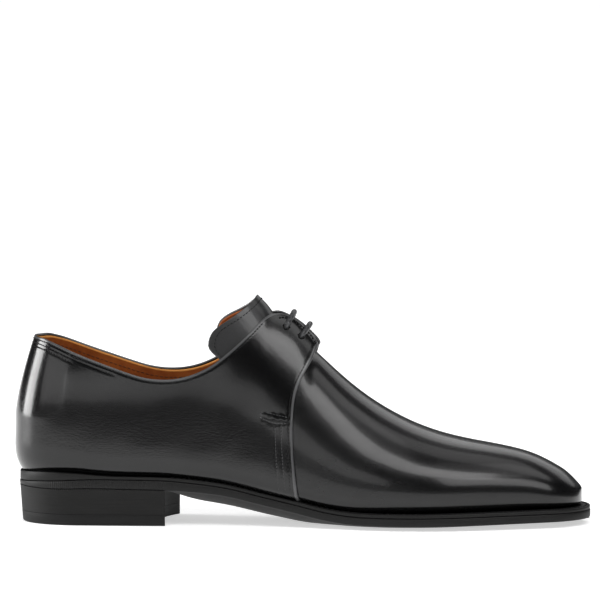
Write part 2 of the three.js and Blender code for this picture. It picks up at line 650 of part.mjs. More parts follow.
// Finishes: polished black calf, black edges and rubber, tan lining leather and a waxed lace.
const finish = (color, roughness) => new THREE.MeshStandardMaterial({ color, roughness, metalness: 0 });
const blackCalf = finish(0x17171a, 0.3);
const soleLeather = finish(0x141414, 0.5);
const heelRubber = finish(0x101010, 0.75);
const tanLining = finish(0xa9652f, 0.6);
const laceCord = finish(0x1c1c1e, 0.7);

const shoe = new THREE.Group();
function addPiece(name, solid, material) {
  const { numProp, vertProperties, triVerts } = solid.getMesh();
  const geometry = new THREE.BufferGeometry();
  const positions = new THREE.BufferAttribute(new Float32Array(vertProperties), numProp);
  geometry.setAttribute("position", positions);
  geometry.setIndex(new THREE.BufferAttribute(new Uint32Array(triVerts), 1));
  geometry.computeVertexNormals();
  const mesh = new THREE.Mesh(geometry, material);
  mesh.name = name;
  shoe.add(mesh);
}

addPiece("outsole", makeOutsole(), soleLeather);
addPiece("welt", makeWelt(), soleLeather);
for (const { name, solid } of makeHeel())
  addPiece(name, solid, name === "heel_top_piece" ? heelRubber : soleLeather);
addPiece("insole", makeInsole(), tanLining);
addPiece("upper", makeUpper(), blackCalf);
addPiece("tongue", makeTongue(), blackCalf);
addPiece("lace", makeLace(), laceCord);

// The origin is on the floor, under the middle of the shoe's box.
const box = new THREE.Box3().setFromObject(shoe);
const centre = box.getCenter(new THREE.Vector3());
shoe.position.set(-centre.x, -centre.y, -box.min.z);

export default shoe;
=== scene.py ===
# %% [markdown]
# # A black leather derby shoe, dressed for a studio photograph
#
# The CAD model gives a shoe made of plain solids. This lesson puts leather, thread, wax and
# wear on it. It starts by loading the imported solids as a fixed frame. Nothing below moves them:
# each new piece is drawn in the same space, and then takes the place of the solid it stands for.

# %% Load the solids
import math

import bmesh
import bpy
import numpy as np
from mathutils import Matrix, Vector


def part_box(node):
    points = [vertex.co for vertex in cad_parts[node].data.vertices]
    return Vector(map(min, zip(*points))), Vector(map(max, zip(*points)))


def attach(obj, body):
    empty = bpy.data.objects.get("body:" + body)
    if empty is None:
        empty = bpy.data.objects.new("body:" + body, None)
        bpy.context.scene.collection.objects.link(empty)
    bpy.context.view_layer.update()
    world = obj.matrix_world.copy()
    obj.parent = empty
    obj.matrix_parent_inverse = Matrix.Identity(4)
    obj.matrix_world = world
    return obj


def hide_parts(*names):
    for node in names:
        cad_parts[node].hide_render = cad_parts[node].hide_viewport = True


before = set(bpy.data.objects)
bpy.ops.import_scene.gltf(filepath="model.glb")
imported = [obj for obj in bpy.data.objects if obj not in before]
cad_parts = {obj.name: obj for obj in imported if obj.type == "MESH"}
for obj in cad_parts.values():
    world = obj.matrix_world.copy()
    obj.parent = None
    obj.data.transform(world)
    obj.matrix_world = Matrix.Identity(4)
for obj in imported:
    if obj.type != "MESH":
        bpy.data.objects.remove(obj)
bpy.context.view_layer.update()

print("solids:", sorted(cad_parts))

# %% [markdown]
# ## The shoe's own measure
#
# A last maker measures from the back edge of the sole, along the floor, in millimetres. All
# the tables below are in that measure, because the numbers can then be read against a real
# shoe. The sole's solid says where its back edge lies, and the heel's says where the middle is.

# %% From shoe millimetres to Blender metres
heel_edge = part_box("outsole")[0].x
heel_sides = [corner.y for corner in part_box("heel_top_piece")]
shoe_origin = np.array([heel_edge, sum(heel_sides) / 2, 0.0])


def metres(points):
    """Shoe millimetres as Blender metres."""
    return np.asarray(points, float) / 1000 + shoe_origin


print("back edge of the sole at", [round(float(v), 4) for v in shoe_origin])

# %% The sizes that a maker writes down
sole_length = 310.0
half_ball = 52.0
heel_seat_height = 28.0
tread_height = 8.8
instep_height = 92.0
last_back = 1.1
last_tip_inset = 4.6
last_length = sole_length + last_back - last_tip_inset
collar_back = 100.2
collar_dip = 78.8
inner_collar_rise = 1.0
flap_top = 115.6
throat_x = 163.6
tongue_top = 124.0
quarter_step = 1.3
print("last length", last_length, "mm")

# %% [markdown]
# ## The camera
#
# A shoe in a catalogue is photographed from far away with a long lens, so that its far side is
# hardly smaller than its near side. The camera stands 6 m off, a little above the floor and
# turned 4 degrees towards the toe. The lens is chosen so that 600 pixels span 325 mm.

# %% Camera
turn, lift = math.radians(4.0), math.radians(5.1)
camera_distance, frame_width, film_width = 6.0, 0.3252, 36.0
view_back = np.array([
    math.sin(turn) * math.cos(lift),
    -math.cos(turn) * math.cos(lift),
    math.sin(lift),
])
aim = metres([152.4, 0.0, 120.3])
camera_data = bpy.data.cameras.new("camera")
camera = bpy.data.objects.new("camera", camera_data)
bpy.context.scene.collection.objects.link(camera)
camera.location = aim + camera_distance * view_back
camera.rotation_euler = (math.pi / 2 - lift, 0.0, turn)
camera_data.sensor_width = film_width
camera_data.lens = film_width * camera_distance / frame_width
camera_data.clip_start = 0.1
camera_data.clip_end = 200.0
bpy.context.scene.camera = camera
print("lens", round(camera_data.lens, 1), "mm")

# %% [markdown]
# ## Shader sums in Python
#
# A material is a graph of nodes. Sums are easier to read as Python than as a graph, so one
# small class wraps a socket: an expression on it adds the Math node that it needs. Every other
# node comes from its method `node`, which sets the node's own settings first and its sockets
# after them.

# %% A socket that Python can reckon with
def operator(operation, swapped=False):
    """The Python operator that adds one kind of Math node."""
    def method(self, other):
        return self.sum(operation, *((other, self) if swapped else (self, other)))
    return method


class Wire:
    """An output socket of a material. Sums on it add nodes."""

    def __init__(self, tree, socket=None):
        self.tree = tree
        self.socket = socket

    def node(self, kind, out=0, stops=None, sockets=None, **settings):
        made = self.tree.nodes.new(kind)
        for name, value in settings.items():
            setattr(made, name, value)
        if stops:
            ramp = made.color_ramp
            while len(ramp.elements) < len(stops):
                ramp.elements.new(0.5)
            for element, (place, colour) in zip(ramp.elements, stops):
                element.position = place
                element.color = (*colour, 1.0)
        for name, value in (sockets or {}).items():
            if isinstance(value, Wire):
                self.tree.links.new(value.socket, made.inputs[name])
            else:
                made.inputs[name].default_value = value
        return Wire(self.tree, made.outputs[out])

    def sum(self, operation, first, second=0.0):
        pair = (first, second)
        flat = all(not isinstance(v, Wire) or v.socket.type == "VALUE" for v in pair)
        kind = "ShaderNodeMath" if flat else "ShaderNodeVectorMath"
        if not flat:
            pair = [(v, v, v) if isinstance(v, (int, float)) else v for v in pair]
        return self.node(kind, operation=operation, sockets=dict(enumerate(pair)))

    __add__ = operator("ADD")
    __radd__ = operator("ADD", swapped=True)
    __sub__ = operator("SUBTRACT")
    __rsub__ = operator("SUBTRACT", swapped=True)
    __mul__ = operator("MULTIPLY")
    __rmul__ = operator("MULTIPLY", swapped=True)

    def smooth(self, low, high):
        """0 below low, 1 above high, with a soft step between them."""
        return self.node("ShaderNodeMapRange", interpolation_type="SMOOTHSTEP", sockets={
            "Value": self, "From Min": low, "From Max": high})

    def blend(self, dark, light):
        """A colour between two, by this value."""
        return self.node("ShaderNodeMix", out=2, data_type="RGBA", sockets={
            0: self, 6: (*dark, 1.0), 7: (*light, 1.0)})


print("Wire ready")

# %% Where a point of the surface is, and textures there
def new_finish(name, **constants):
    """A material, its Principled shader and the place of the surface point in metres."""
    material = bpy.data.materials.new(name)
    material.use_nodes = True
    shader = material.node_tree.nodes["Principled BSDF"]
    for socket, value in constants.items():
        shader.inputs[socket.replace("_", " ")].default_value = value
    place = Wire(material.node_tree).node("ShaderNodeTexCoord", out="Object")
    return material, shader, place


def painted(wire, name):
    """A value that a piece carries on its points."""
    return wire.node("ShaderNodeAttribute", out="Fac", attribute_name=name)


def dimmed(colour, share):
    return tuple(part * share for part in colour)


def noise(place, size, detail=2.0, rough=0.5, stretch=(1, 1, 1)):
    """Soft random spots about `size` metres across."""
    scaled = place * tuple(v / size for v in stretch)
    return place.node("ShaderNodeTexNoise", sockets={
        "Vector": scaled, "Scale": 1.0, "Detail": detail, "Roughness": rough})


def pebbles(place, size, feature="SMOOTH_F1"):
    """Rounded cells about `size` metres across, as in leather grain."""
    return place.node("ShaderNodeTexVoronoi", feature=feature, sockets={
        "Vector": place * (1 / size), "Scale": 1.0, "Smoothness": 0.6})


def connect(shader, **wires):
    """Joins wires to the shader's sockets by name."""
    for name, wire in wires.items():
        wire.tree.links.new(wire.socket, shader.inputs[name.replace("_", " ")])


def bump(height, depth):
    """Relief of `depth` metres where `height` goes from 0 to 1."""
    return height.node("ShaderNodeBump", sockets={
        "Height": height, "Distance": depth, "Strength": 1.0})


print("texture helpers ready")

# %% [markdown]
# ## Finishes
#
# The upper is calf that has been waxed and brushed until it mirrors the studio: nearly black,
# smooth, with a grain that only shows as a soft break in the reflections. Its shine is a clear
# coat over a rougher skin. The grain is a fine cell texture, and slow noise varies how well each
# area was polished. The tongue is a duller calf, and its greyer colour is a painted sheen. The
# grey of the cut edges is a painted highlight.

# %% Polished calf
def calf_finish(name, colour, rough_low, rough_high, grain_depth):
    material, shader, place = new_finish(name, Specular_IOR_Level=0.5, Coat_Roughness=0.1)
    cells = pebbles(place, 0.0011)
    fine = noise(place, 0.00045, detail=3.0)
    slow = noise(place, 0.035, detail=2.0)
    streaks = noise(place, 0.007, detail=3.0, stretch=(0.4, 1, 1))
    worn = slow * 0.6 + streaks * 0.4
    grain = cells * 0.5 + fine * 0.7
    rough = rough_low + (rough_high - rough_low) * worn
    tint = (worn * 0.6 + cells * 0.4).blend(dimmed(colour, 0.6), colour)
    connect(shader, Base_Color=tint, Roughness=rough, Normal=bump(grain, grain_depth),
            Coat_Weight=0.6 - worn * 0.3)
    return material


quarter_calf = calf_finish("quarter_calf", (0.0025, 0.0025, 0.0027), 0.1, 0.24, 0.00006)
vamp_calf = calf_finish("vamp_calf", (0.0025, 0.0025, 0.0027), 0.2, 0.32, 0.00006)
# Cut edges: a grey base that is a painted highlight along the rims and the face rows beside them.
edge_highlight_calf = calf_finish("edge_highlight_calf", (0.1, 0.1, 0.103), 0.25, 0.36, 0.00003)
# The tongue: rougher calf, with a greyer base that is a painted sheen.
tongue_sheen_calf = calf_finish("tongue_sheen_calf", (0.028, 0.028, 0.029), 0.32, 0.46, 0.00006)
print("calf", quarter_calf.name, vamp_calf.name, edge_highlight_calf.name, tongue_sheen_calf.name)

# %% Lining leather and dyed edges
def lining_finish(name, dark, light):
    material, shader, place = new_finish(name, Specular_IOR_Level=0.3)
    slow = noise(place, 0.022, detail=4.0)
    pores = pebbles(place, 0.0006)
    dull = noise(place, 0.004, detail=3.0)
    tint = (slow * 0.7 + dull * 0.4).smooth(0.35, 0.75).blend(dark, light)
    connect(shader, Base_Color=tint, Roughness=0.5 + slow * 0.2,
            Normal=bump(pores * 0.8 + dull * 0.4, 0.00003))
    return material


def edge_finish(name, colour, layer_height, rough_low=0.4, rough_high=0.62, ribs=0.0):
    """Dyed and burnished leather edge: thin layers, a few pores and the marks of a wheel."""
    material, shader, place = new_finish(name, Specular_IOR_Level=0.4)
    layers = noise(place, 0.02, detail=4.0, stretch=(1, 1, 0.02 / layer_height))
    spots = noise(place, 0.0018, detail=4.0)
    slow = noise(place, 0.015, detail=2.0)
    tint = (layers * 0.7 + spots * 0.4).smooth(0.35, 0.8).blend(
        dimmed(colour, 0.5), colour)
    rough = rough_low + (rough_high - rough_low) * (slow * 0.6 + spots * 0.5)
    relief = layers * 0.6 + spots * 0.3
    if ribs:
        wave = place.sum("SINE", painted(place, "gone") * (2 * math.pi / ribs))
        relief = relief + wave * painted(place, "wheel")
    connect(shader, Base_Color=tint, Roughness=rough, Normal=bump(relief, 0.00007))
    return material


tan_lining = lining_finish("tan_lining", (0.3, 0.082, 0.016), (0.46, 0.15, 0.034))
lining_bead = lining_finish("lining_bead", (0.6, 0.25, 0.06), (0.75, 0.36, 0.1))
welt_leather = edge_finish("welt_leather", (0.009, 0.0088, 0.0085), 0.0006)
sole_edge = edge_finish("sole_edge", (0.011, 0.0107, 0.0105), 0.0007, ribs=1.15)
heel_leather = edge_finish("heel_leather", (0.009, 0.0088, 0.0085), 0.0008, 0.5, 0.7,
                           ribs=1.15)
heel_rubber = edge_finish("heel_rubber", (0.008, 0.008, 0.008), 0.004, 0.5, 0.7)
print("edges", welt_leather.name, sole_edge.name, heel_leather.name, heel_rubber.name)

# %% Thread
def thread_finish(name, colour, rough):
    material, shader, place = new_finish(name)
    fibres = noise(place, 0.00025, detail=2.0)
    slow = noise(place, 0.004, detail=2.0)
    tint = slow.blend(dimmed(colour, 0.6), colour)
    connect(shader, Base_Color=tint, Roughness=rough + slow * 0.15,
            Normal=bump(fibres, 0.00004))
    return material


black_thread = thread_finish("black_thread", (0.0025, 0.0025, 0.0026), 0.6)
# Thread for the tab and the rows below it: its paler grey is a painted glint.
pale_glint_thread = thread_finish("pale_glint_thread", (0.09, 0.09, 0.093), 0.3)
brown_thread = thread_finish("brown_thread", (0.1, 0.045, 0.018), 0.55)
print("threads ready")

# %% [markdown]
# ## The last and the sole as curves
#
# A shoe has hardly a straight line in it, so it is drawn as a last maker checks it: by
# sections. Each row below is one section, and a curve through each column says how that
# measure changes from heel to toe. The curve is softened a little, because polished leather
# shows the smallest kink in its reflections.

# %% The sections of the sole and of the last
sole_rows = """
at    outer inner top   welt thick belly flat
0     .63   .63   .975  2.4  .55   0     2.2
.05   .64   .64   1.04  2.4  .95   0     2.2
.1    .65   .65   1.02  1.75 1.08  0     2.2
.165  .655  .655  .94   .8   1.15  0     2.2
.26   .645  .645  .92   .8   1.2   .35   2.2
.3    .625  .61   .865  .9   1.08  1.5   2.2
.36   .605  .555  .76   1    1     1.75  2.2
.43   .625  .53   .5    1    1     1.7   2.3
.5    .71   .61   .26   1    1     1.6   2.6
.545  .785  .72   .1    1    1     1     3
.6    .88   .85   .01   1    1     .6    4
.66   .955  .99   0     1    1     .6    4
.72   .965  1.055 .005  1    1     .6    4
.78   .905  1.02  .02   1    1     .52   4
.84   .795  .91   .035  1    1     .42   4
.9    .655  .765  .045  1    1     .3    4
.95   .525  .63   .05   1    1     .2    4
1     .4    .495  .05   1    1     .1    4
"""
last_rows = """
at    outer inner crown widest tuck square
0     .6    .6    1.31  .22   .065  2
.08   .615  .615  1.345 .18   .065  2
.16   .63   .63   1.4   .14   .065  2
.24   .635  .63   1.46  .12   .07   1.95
.31   .635  .605  1.51  .115  .085  1.9
.37   .645  .585  1.49  .115  .095  1.88
.425  .665  .585  1.37  .12   .095  1.88
.455  .69   .61   1.267 .125  .09   1.9
.5    .735  .67   1.1   .135  .085  1.92
.54   .785  .74   .974  .145  .075  1.95
.6    .855  .855  .792  .165  .06   2
.66   .895  .945  .656  .2    .05   2.05
.73   .885  .975  .548  .23   .045  2.1
.79   .815  .925  .493  .25   .04   2.2
.85   .7    .81   .457  .27   .04   2.25
.91   .56   .67   .412  .28   .04   2.25
.955  .45   .555  .34   .28   .04   2.15
1     .34   .445  .245  .3    .04   2.1
"""


def lengths_along(points):
    """How far along a line each of its points is."""
    steps = np.linalg.norm(np.diff(points, axis=0), axis=1)
    return np.concatenate([[0], np.cumsum(steps)])


def sampled(columns, gone, wanted):
    """Points at wanted lengths of a line whose points lie at the lengths gone."""
    return np.stack([np.interp(wanted, gone, column) for column in columns.T], -1)


def softened_curve(at, values, soften=0.018):
    """A curve through a column that doesn't overshoot, smoothed over a share of the length."""
    rise = np.diff(values) / np.diff(at)
    slope = np.concatenate([rise[:1], np.zeros(len(at) - 2), rise[-1:]])
    for i in range(1, len(at) - 1):
        a, b = rise[i - 1], rise[i]
        slope[i] = 0.0 if a * b <= 0 else 2 * a * b / (a + b)
    fine = np.linspace(0, 1, 1201)
    i = np.clip(np.searchsorted(at, fine, side="right") - 1, 0, len(at) - 2)
    width = at[i + 1] - at[i]
    t = (fine - at[i]) / width
    drawn = ((2 * t**3 - 3 * t**2 + 1) * values[i] + (t**3 - 2 * t**2 + t) * width * slope[i]
             + (3 * t**2 - 2 * t**3) * values[i + 1] + (t**3 - t**2) * width * slope[i + 1])
    reach = int(3 * soften * 1200)
    kernel = np.exp(-0.5 * (np.arange(-reach, reach + 1) / (soften * 1200)) ** 2)
    before = 2 * drawn[0] - drawn[reach:0:-1]
    after = 2 * drawn[-1] - drawn[-2:-reach - 2:-1]
    drawn = np.convolve(np.concatenate([before, drawn, after]), kernel / kernel.sum(), "valid")
    return lambda share: np.interp(share, fine, drawn)


def curves_of(text):
    names, *rows = [line.split() for line in text.split("\n") if line]
    table = np.array(rows, float)
    return {name: softened_curve(table[:, 0], table[:, k]) for k, name in enumerate(names)}


sole, last = curves_of(sole_rows), curves_of(last_rows)
print("ball, half widths:", round(float(last["outer"](0.7)) * half_ball, 1),
      round(float(last["inner"](0.7)) * half_ball, 1))

# %% A section of the last
heel_power, toe_power = 2.15, 2.3
last_heel_reach, last_toe_reach = 0.105, 0.06
sole_heel_reach, sole_toe_reach = 0.11, 0.07


def round_end(distance, reach, power):
    """0 at an end of an outline, rising to 1 over the reach of its rounding."""
    left = np.maximum(0, 1 - np.maximum(0, distance) / reach)
    return (1 - left**power) ** (1 / power)


def edge_top(x):
    """Height of the welt's top."""
    share = sole["top"](np.clip(x / sole_length, 0, 1))
    return tread_height + share * (heel_seat_height - tread_height)


def last_section(at, grow):
    length = last_length + 2 * grow
    x = -last_back - grow + at * length
    outer, inner = last["outer"](at) * half_ball, last["inner"](at) * half_ball
    ends = (round_end(at * length, last_heel_reach * sole_length + grow, heel_power)
            * round_end((1 - at) * length, last_toe_reach * sole_length + grow, toe_power))
    half = ((inner + outer) / 2 + grow) * ends
    slope = (last["crown"](np.minimum(1, at + 0.01)) - last["crown"](np.maximum(0, at - 0.01)))
    steep = np.hypot(1, slope * instep_height / (0.02 * last_length))
    nose = round_end((1 - at) * length, 0.035 * sole_length + grow, 2)
    tip = 0.2 * instep_height
    crown = tip + (last["crown"](at) * instep_height - tip + grow * steep) * nose
    return x, (inner - outer) / 2, half, edge_top(x) + 0.3, crown


def lean_at(z, at):
    """The back of the heel leans in towards the ankle."""
    start = 0.58 * collar_back
    rise = np.maximum(0, (z - start) / (collar_back - start))
    return 10.2 * rise**1.35 * np.maximum(0, 1 - at / 0.24) ** 2


print("section at the waist:", [round(float(v), 1) for v in last_section(0.4, 0.0)])

# %% A point of the last
def last_point(at, side, level, grow=0.0, lift=0.0):
    """side is -1 outside and 1 inside; level is -1 at the foot, 0 at the widest, 1 on the ridge."""
    at, side, level, grow, lift = np.broadcast_arrays(at, side, level, grow, lift)
    x, middle, half, foot, crown = last_section(at, grow)
    step = 1e-3
    ahead = last_section(np.minimum(1, at + step), grow)
    behind = last_section(np.maximum(0, at - step), grow)
    run = ahead[0] - behind[0]
    drift = (ahead[1] + side * ahead[2]) - (behind[1] + side * behind[2])
    size = np.hypot(run, drift)
    out_x, out_y = -drift * side / size, run * side / size
    out_x = np.where(at < step, -1.0, np.where(at > 1 - step, 1.0, out_x))
    out_y = np.where((at < step) | (at > 1 - step), 0.0, out_y)
    widest, height = last["widest"](at), crown - foot
    tuck = (last["tuck"](at) * half_ball + 0.8) * np.maximum(0, -level) ** 3.6
    turn = np.clip(level, 0, 1) * math.pi / 2
    power = 2 / last["square"](at)
    across, up = np.maximum(0, np.cos(turn)) ** power, np.sin(turn) ** power
    low = level <= 0
    y = np.where(low, middle + side * half - out_y * tuck, middle + side * half * across)
    z = np.where(low, foot + widest * height * (1 + level),
                 foot + height * (widest + (1 - widest) * up) + lift * up**4)
    x = x - np.where(low, out_x * tuck, 0) + lean_at(z, at)
    return np.stack([x, y, z], -1)


def share_at(x, grow=0.0):
    return (x + last_back + grow) / (last_length + 2 * grow)


print("back of the heel:", last_point(0.0, 1, 0.5).round(1))

# %% [markdown]
# ## Finding a place from the side
#
# Edges and stitch rows were read from the side view, so each is written down as x and z. To
# lie on the leather they need their place on the last instead: how far round it, and how high
# up its section. `find` works that out. How far round is measured along the widest line from
# the middle of the heel, negative on the outer side, so that the two quarters can be drawn as
# one sheet that passes behind the heel.

# %% Round the last, and up its section
def outline_shares(count, heel_reach, toe_reach, middle):
    """Shares of a length that crowd together where the heel and the toe turn round."""
    turns = np.linspace(0, math.pi / 2, count)
    heel = (1 - np.cos(turns) ** (2 / heel_power)) * heel_reach
    toe = 1 - (1 - np.cos(turns) ** (2 / toe_power)) * toe_reach
    return np.unique(np.concatenate([heel, np.linspace(heel_reach, 1 - toe_reach, middle), toe]))


share_list = outline_shares(60, last_heel_reach, last_toe_reach, 300)
line = np.mean([np.abs(last_point(share_list, side, 0.0)[:, :2]) for side in (-1, 1)], axis=0)
round_list = lengths_along(line)
toe_round = round_list[-1]
foot_part = 0.2


def round_of(at):
    return np.interp(at, share_list, round_list)


def at_of(around):
    return np.interp(np.abs(around), round_list, share_list)


def level_of(up):
    """Heights up a section, with the tucked foot given its fair share of the grid."""
    return np.where(up < 0, up / foot_part, up)


def up_of(level):
    return np.where(level < 0, level * foot_part, level)


def find(x, z, grow=0.0, lift=None):
    """The place (round, up) that the side view shows at x, z."""
    x, z = np.asarray(x, float), np.asarray(z, float)
    at = np.clip(share_at(x, grow), 0, 1)
    for _ in range(25):
        at = np.clip(0.5 * at + 0.5 * share_at(x - lean_at(z, at), grow), 0, 1)
    _, _, _, foot, crown = last_section(at, grow)
    height, widest, square = crown - foot, last["widest"](at), last["square"](at)
    raised = lift(at) if lift else 0.0
    low, high = np.zeros_like(z), np.ones_like(z)
    for _ in range(40):
        mid = (low + high) / 2
        above = foot + height * (widest + (1 - widest) * mid) + raised * mid**4 > z
        low, high = np.where(above, low, mid), np.where(above, mid, high)
    upper = np.arcsin(np.clip(low, 0, 1) ** (square / 2)) / (math.pi / 2)
    under = (z - foot) / (widest * height) - 1
    level = np.where(z > foot + widest * height, upper, under)
    return np.stack([round_of(at), up_of(level)], -1)


print("half way round the last:", round(float(toe_round), 1), "mm")

# %% A smooth line through points
def line_through(points, spacing=1.0):
    """A smooth line through points, with new points about `spacing` apart."""
    p = np.asarray(points, float)
    p = np.vstack([2 * p[0] - p[1], p, 2 * p[-1] - p[-2]])
    t = np.linspace(0, 1, 24, endpoint=False)[:, None]
    parts = []
    for a, b, c, d in zip(p, p[1:], p[2:], p[3:]):
        parts.append(0.5 * (2 * b + (c - a) * t + (2 * a - 5 * b + 4 * c - d) * t**2
                            + (3 * b - a - 3 * c + d) * t**3))
    return evened(np.vstack([*parts, p[-2:-1]]), spacing)


def evened(points, spacing):
    """The same line with evenly spaced points."""
    gone = lengths_along(points)
    count = max(2, round(gone[-1] / spacing) + 1)
    return sampled(points, gone, np.linspace(0, gone[-1], count))


print("a bent line of", len(line_through([(0, 0), (10, 3), (20, 0)])), "points")

# %% [markdown]
# ## Building with sheets
#
# Leather is a sheet, so nearly every piece here is one: a grid of points for its face, another
# for its back, and a rounded rim that joins them. A rounded rim matters more than it seems,
# because the thin bright line along a cut edge is what tells the eye how thick the leather is.

# %% Meshes from grids
def add_mesh(name, points, faces, materials, face_materials=None):
    mesh = bpy.data.meshes.new(name)
    mesh.from_pydata(metres(points).tolist(), [], faces)
    mesh.validate()
    for material in materials:
        mesh.materials.append(material)
    if face_materials is not None and len(face_materials) == len(mesh.polygons):
        mesh.polygons.foreach_set("material_index", face_materials)
    mesh.polygons.foreach_set("use_smooth", [True] * len(mesh.polygons))
    piece = bpy.data.objects.new(name, mesh)
    bpy.context.scene.collection.objects.link(piece)
    return piece


def give_values(piece, **columns):
    """Values on a piece's points, for its material to read."""
    for name, values in columns.items():
        values = np.resize(np.asarray(values, np.float32), len(piece.data.vertices))
        piece.data.attributes.new(name, "FLOAT", "POINT").data.foreach_set("value", values)


def face_outwards(piece, weld=2e-6):
    """Joins points that fall together and turns every face outwards."""
    work = bmesh.new()
    work.from_mesh(piece.data)
    bmesh.ops.remove_doubles(work, verts=work.verts, dist=weld)
    bmesh.ops.dissolve_degenerate(work, edges=work.edges, dist=weld)
    bmesh.ops.recalc_face_normals(work, faces=work.faces)
    work.to_mesh(piece.data)
    work.free()
    return piece


def apply_modifier(piece, kind, **settings):
    """Adds a modifier with its settings and applies it."""
    modifier = piece.modifiers.new("step", kind)
    for name, value in settings.items():
        setattr(modifier, name, value)
    bpy.context.view_layer.objects.active = piece
    bpy.ops.object.modifier_apply(modifier="step")


def grid_faces(rows, columns, start=0, flip=False, wrap=False):
    index = np.arange(rows * columns).reshape(rows, columns) + start
    if wrap:
        index = np.hstack([index, index[:, :1]])
    a, b, c, d = index[:-1, :-1], index[:-1, 1:], index[1:, 1:], index[1:, :-1]
    quads = np.stack([a, b, c, d] if not flip else [a, d, c, b], -1).reshape(-1, 4)
    return quads.tolist()


def unit(vectors):
    return vectors / np.maximum(1e-9, np.linalg.norm(vectors, axis=-1, keepdims=True))


def sheet(name, face, back, materials, open_end=False, edge_rows=0):
    """A closed sheet between two grids. materials are those of its face, rim and back.

    An open end has no rim along the first column. edge_rows of the face take the rim's material,
    except along the first row.
    """
    rows, columns = face.shape[:2]
    first, last_row = [(0, j) for j in range(columns)], [(rows - 1, j) for j in range(columns)]
    right, left = [(i, columns - 1) for i in range(rows)], [(i, 0) for i in range(rows)]
    if open_end:
        border = last_row + right[-2::-1] + first[-2::-1]
    else:
        border = first + right[1:] + last_row[-2::-1] + left[-2:0:-1]
    i, j = np.array(border).T
    row_in = np.clip(i, 1, rows - 2)
    column_in = np.clip(j, 0 if open_end else 1, columns - 2)
    centre, through = (face[i, j] + back[i, j]) / 2, (face[i, j] - back[i, j]) / 2
    out = face[i, j] - face[row_in, column_in]
    normal = unit(through)
    out = unit(out - (out * normal).sum(-1, keepdims=True) * normal)
    out = out * np.linalg.norm(through, axis=-1, keepdims=True)
    rings = [centre + math.cos(a) * through + math.sin(a) * out
             for a in np.radians([35, 70, 110, 145])]
    points = np.vstack([face.reshape(-1, 3), back.reshape(-1, 3), *rings])
    count, size = len(border), rows * columns
    faces = grid_faces(rows, columns) + grid_faces(rows, columns, size, flip=True)
    face_row, face_column = np.divmod(np.arange(len(faces) // 2), columns - 1)
    from_side = np.minimum(face_column, columns - 2 - face_column)
    from_edge = np.minimum(from_side, rows - 2 - face_row)
    kinds = (from_edge < edge_rows).astype(int).tolist() + [2] * (len(faces) // 2)
    loops = [i * columns + j] + [2 * size + n * count + np.arange(count) for n in range(4)]
    loops += [size + i * columns + j]
    for n, (one, two) in enumerate(zip(loops, loops[1:])):
        around = range(count - 1) if open_end else range(count)
        for a in around:
            b = (a + 1) % count
            faces.append([int(one[a]), int(two[a]), int(two[b]), int(one[b])])
            kinds.append(1)
    slots = [materials[0], materials[min(1, len(materials) - 1)], materials[-1]]
    return face_outwards(add_mesh(name, points, faces, slots, kinds))


print("sheet ready")

# %% Tubes and stitches
def frames_along(path, normals=None):
    """Directions along, out of and across a path."""
    along = unit(np.gradient(path, axis=0))
    if normals is None:
        normals = np.tile([0.0, 0.0, 1.0], (len(path), 1))
        for n in range(1, len(path)):
            normals[n] = normals[n - 1]
            normals[n] -= (normals[n] @ along[n]) * along[n]
            normals[n] /= max(1e-9, np.linalg.norm(normals[n]))
    out = unit(normals - (normals * along).sum(-1, keepdims=True) * along)
    return along, out, np.cross(along, out)


def tube_grid(path, radii, sides=10, normals=None, squash=1.0):
    """Rings round a path; squash flattens them along their normals."""
    along, out, across = frames_along(path, normals)
    angle = np.linspace(0, 2 * math.pi, sides, endpoint=False)
    radii = np.broadcast_to(radii, len(path))[:, None, None]
    return (path[:, None] + radii * (squash * np.cos(angle)[None, :, None] * out[:, None]
                                     + np.sin(angle)[None, :, None] * across[:, None]))


def tubes(name, grids, material):
    """One piece from several closed tubes."""
    points, faces = [], []
    for grid in grids:
        rows, sides = grid.shape[:2]
        start = sum(len(p) for p in points)
        points.append(grid.reshape(-1, 3))
        faces += grid_faces(rows, sides, start, wrap=True)
        faces += [list(range(start, start + sides))[::-1]]
        faces += [list(range(start + (rows - 1) * sides, start + rows * sides))]
    piece = add_mesh(name, np.vstack(points), faces, [material])
    return face_outwards(piece)


def stitch_grids(path, normals, pitch=2.5, length=1.9, width=0.42, slant=0.0, sink=0.35):
    """Short round-ended stitches along a path. slant turns each one across it."""
    gone = lengths_along(path)
    grids = []
    for start in np.arange(0.3, gone[-1] - length, pitch):
        place = np.linspace(start, start + length, 7)
        line = sampled(path, gone, place)
        out = unit(sampled(normals, gone, place))
        across = np.cross(unit(np.gradient(line, axis=0)), out)
        share = np.linspace(-1, 1, 7)[:, None]
        line = line + across * slant * share + out * width * (0.5 * (1 - share**4) - sink)
        radii = width / 2 * np.array([0.45, 0.85, 1, 1, 1, 0.85, 0.45])
        grids.append(tube_grid(line, radii, 6, out))
    return grids


print("tubes and stitches ready")

# %% [markdown]
# ## The quarters
#
# The two quarters wrap the heel and carry the eyelets. On a derby they lie on top of the vamp,
# open at the front like a jacket. Here both are one sheet that runs from the inner front edge
# round the heel to the outer one. A patch is stretched between four lines (feather, topline
# with facing, back seam and front edge), so that the rows of the grid run along the real edges
# and the rims come out clean.

# %% The surface that a quarter lies on
def soft_step(value, low, high):
    t = np.clip((value - low) / (high - low), 0, 1)
    return t * t * (3 - 2 * t)


def flap_lift(at):
    """The flaps stand off the instep, over the tongue."""
    return 7.2 * soft_step(at * last_length - last_back, throat_x - 28, throat_x - 8)


def side_point(places, grow, lift):
    """Points of a sheet whose places are (round, up), outer side negative."""
    at = at_of(places[..., 0])
    side = np.where(places[..., 0] < 0, -1, 1)
    return last_point(at, side, level_of(places[..., 1]), grow, lift(at))


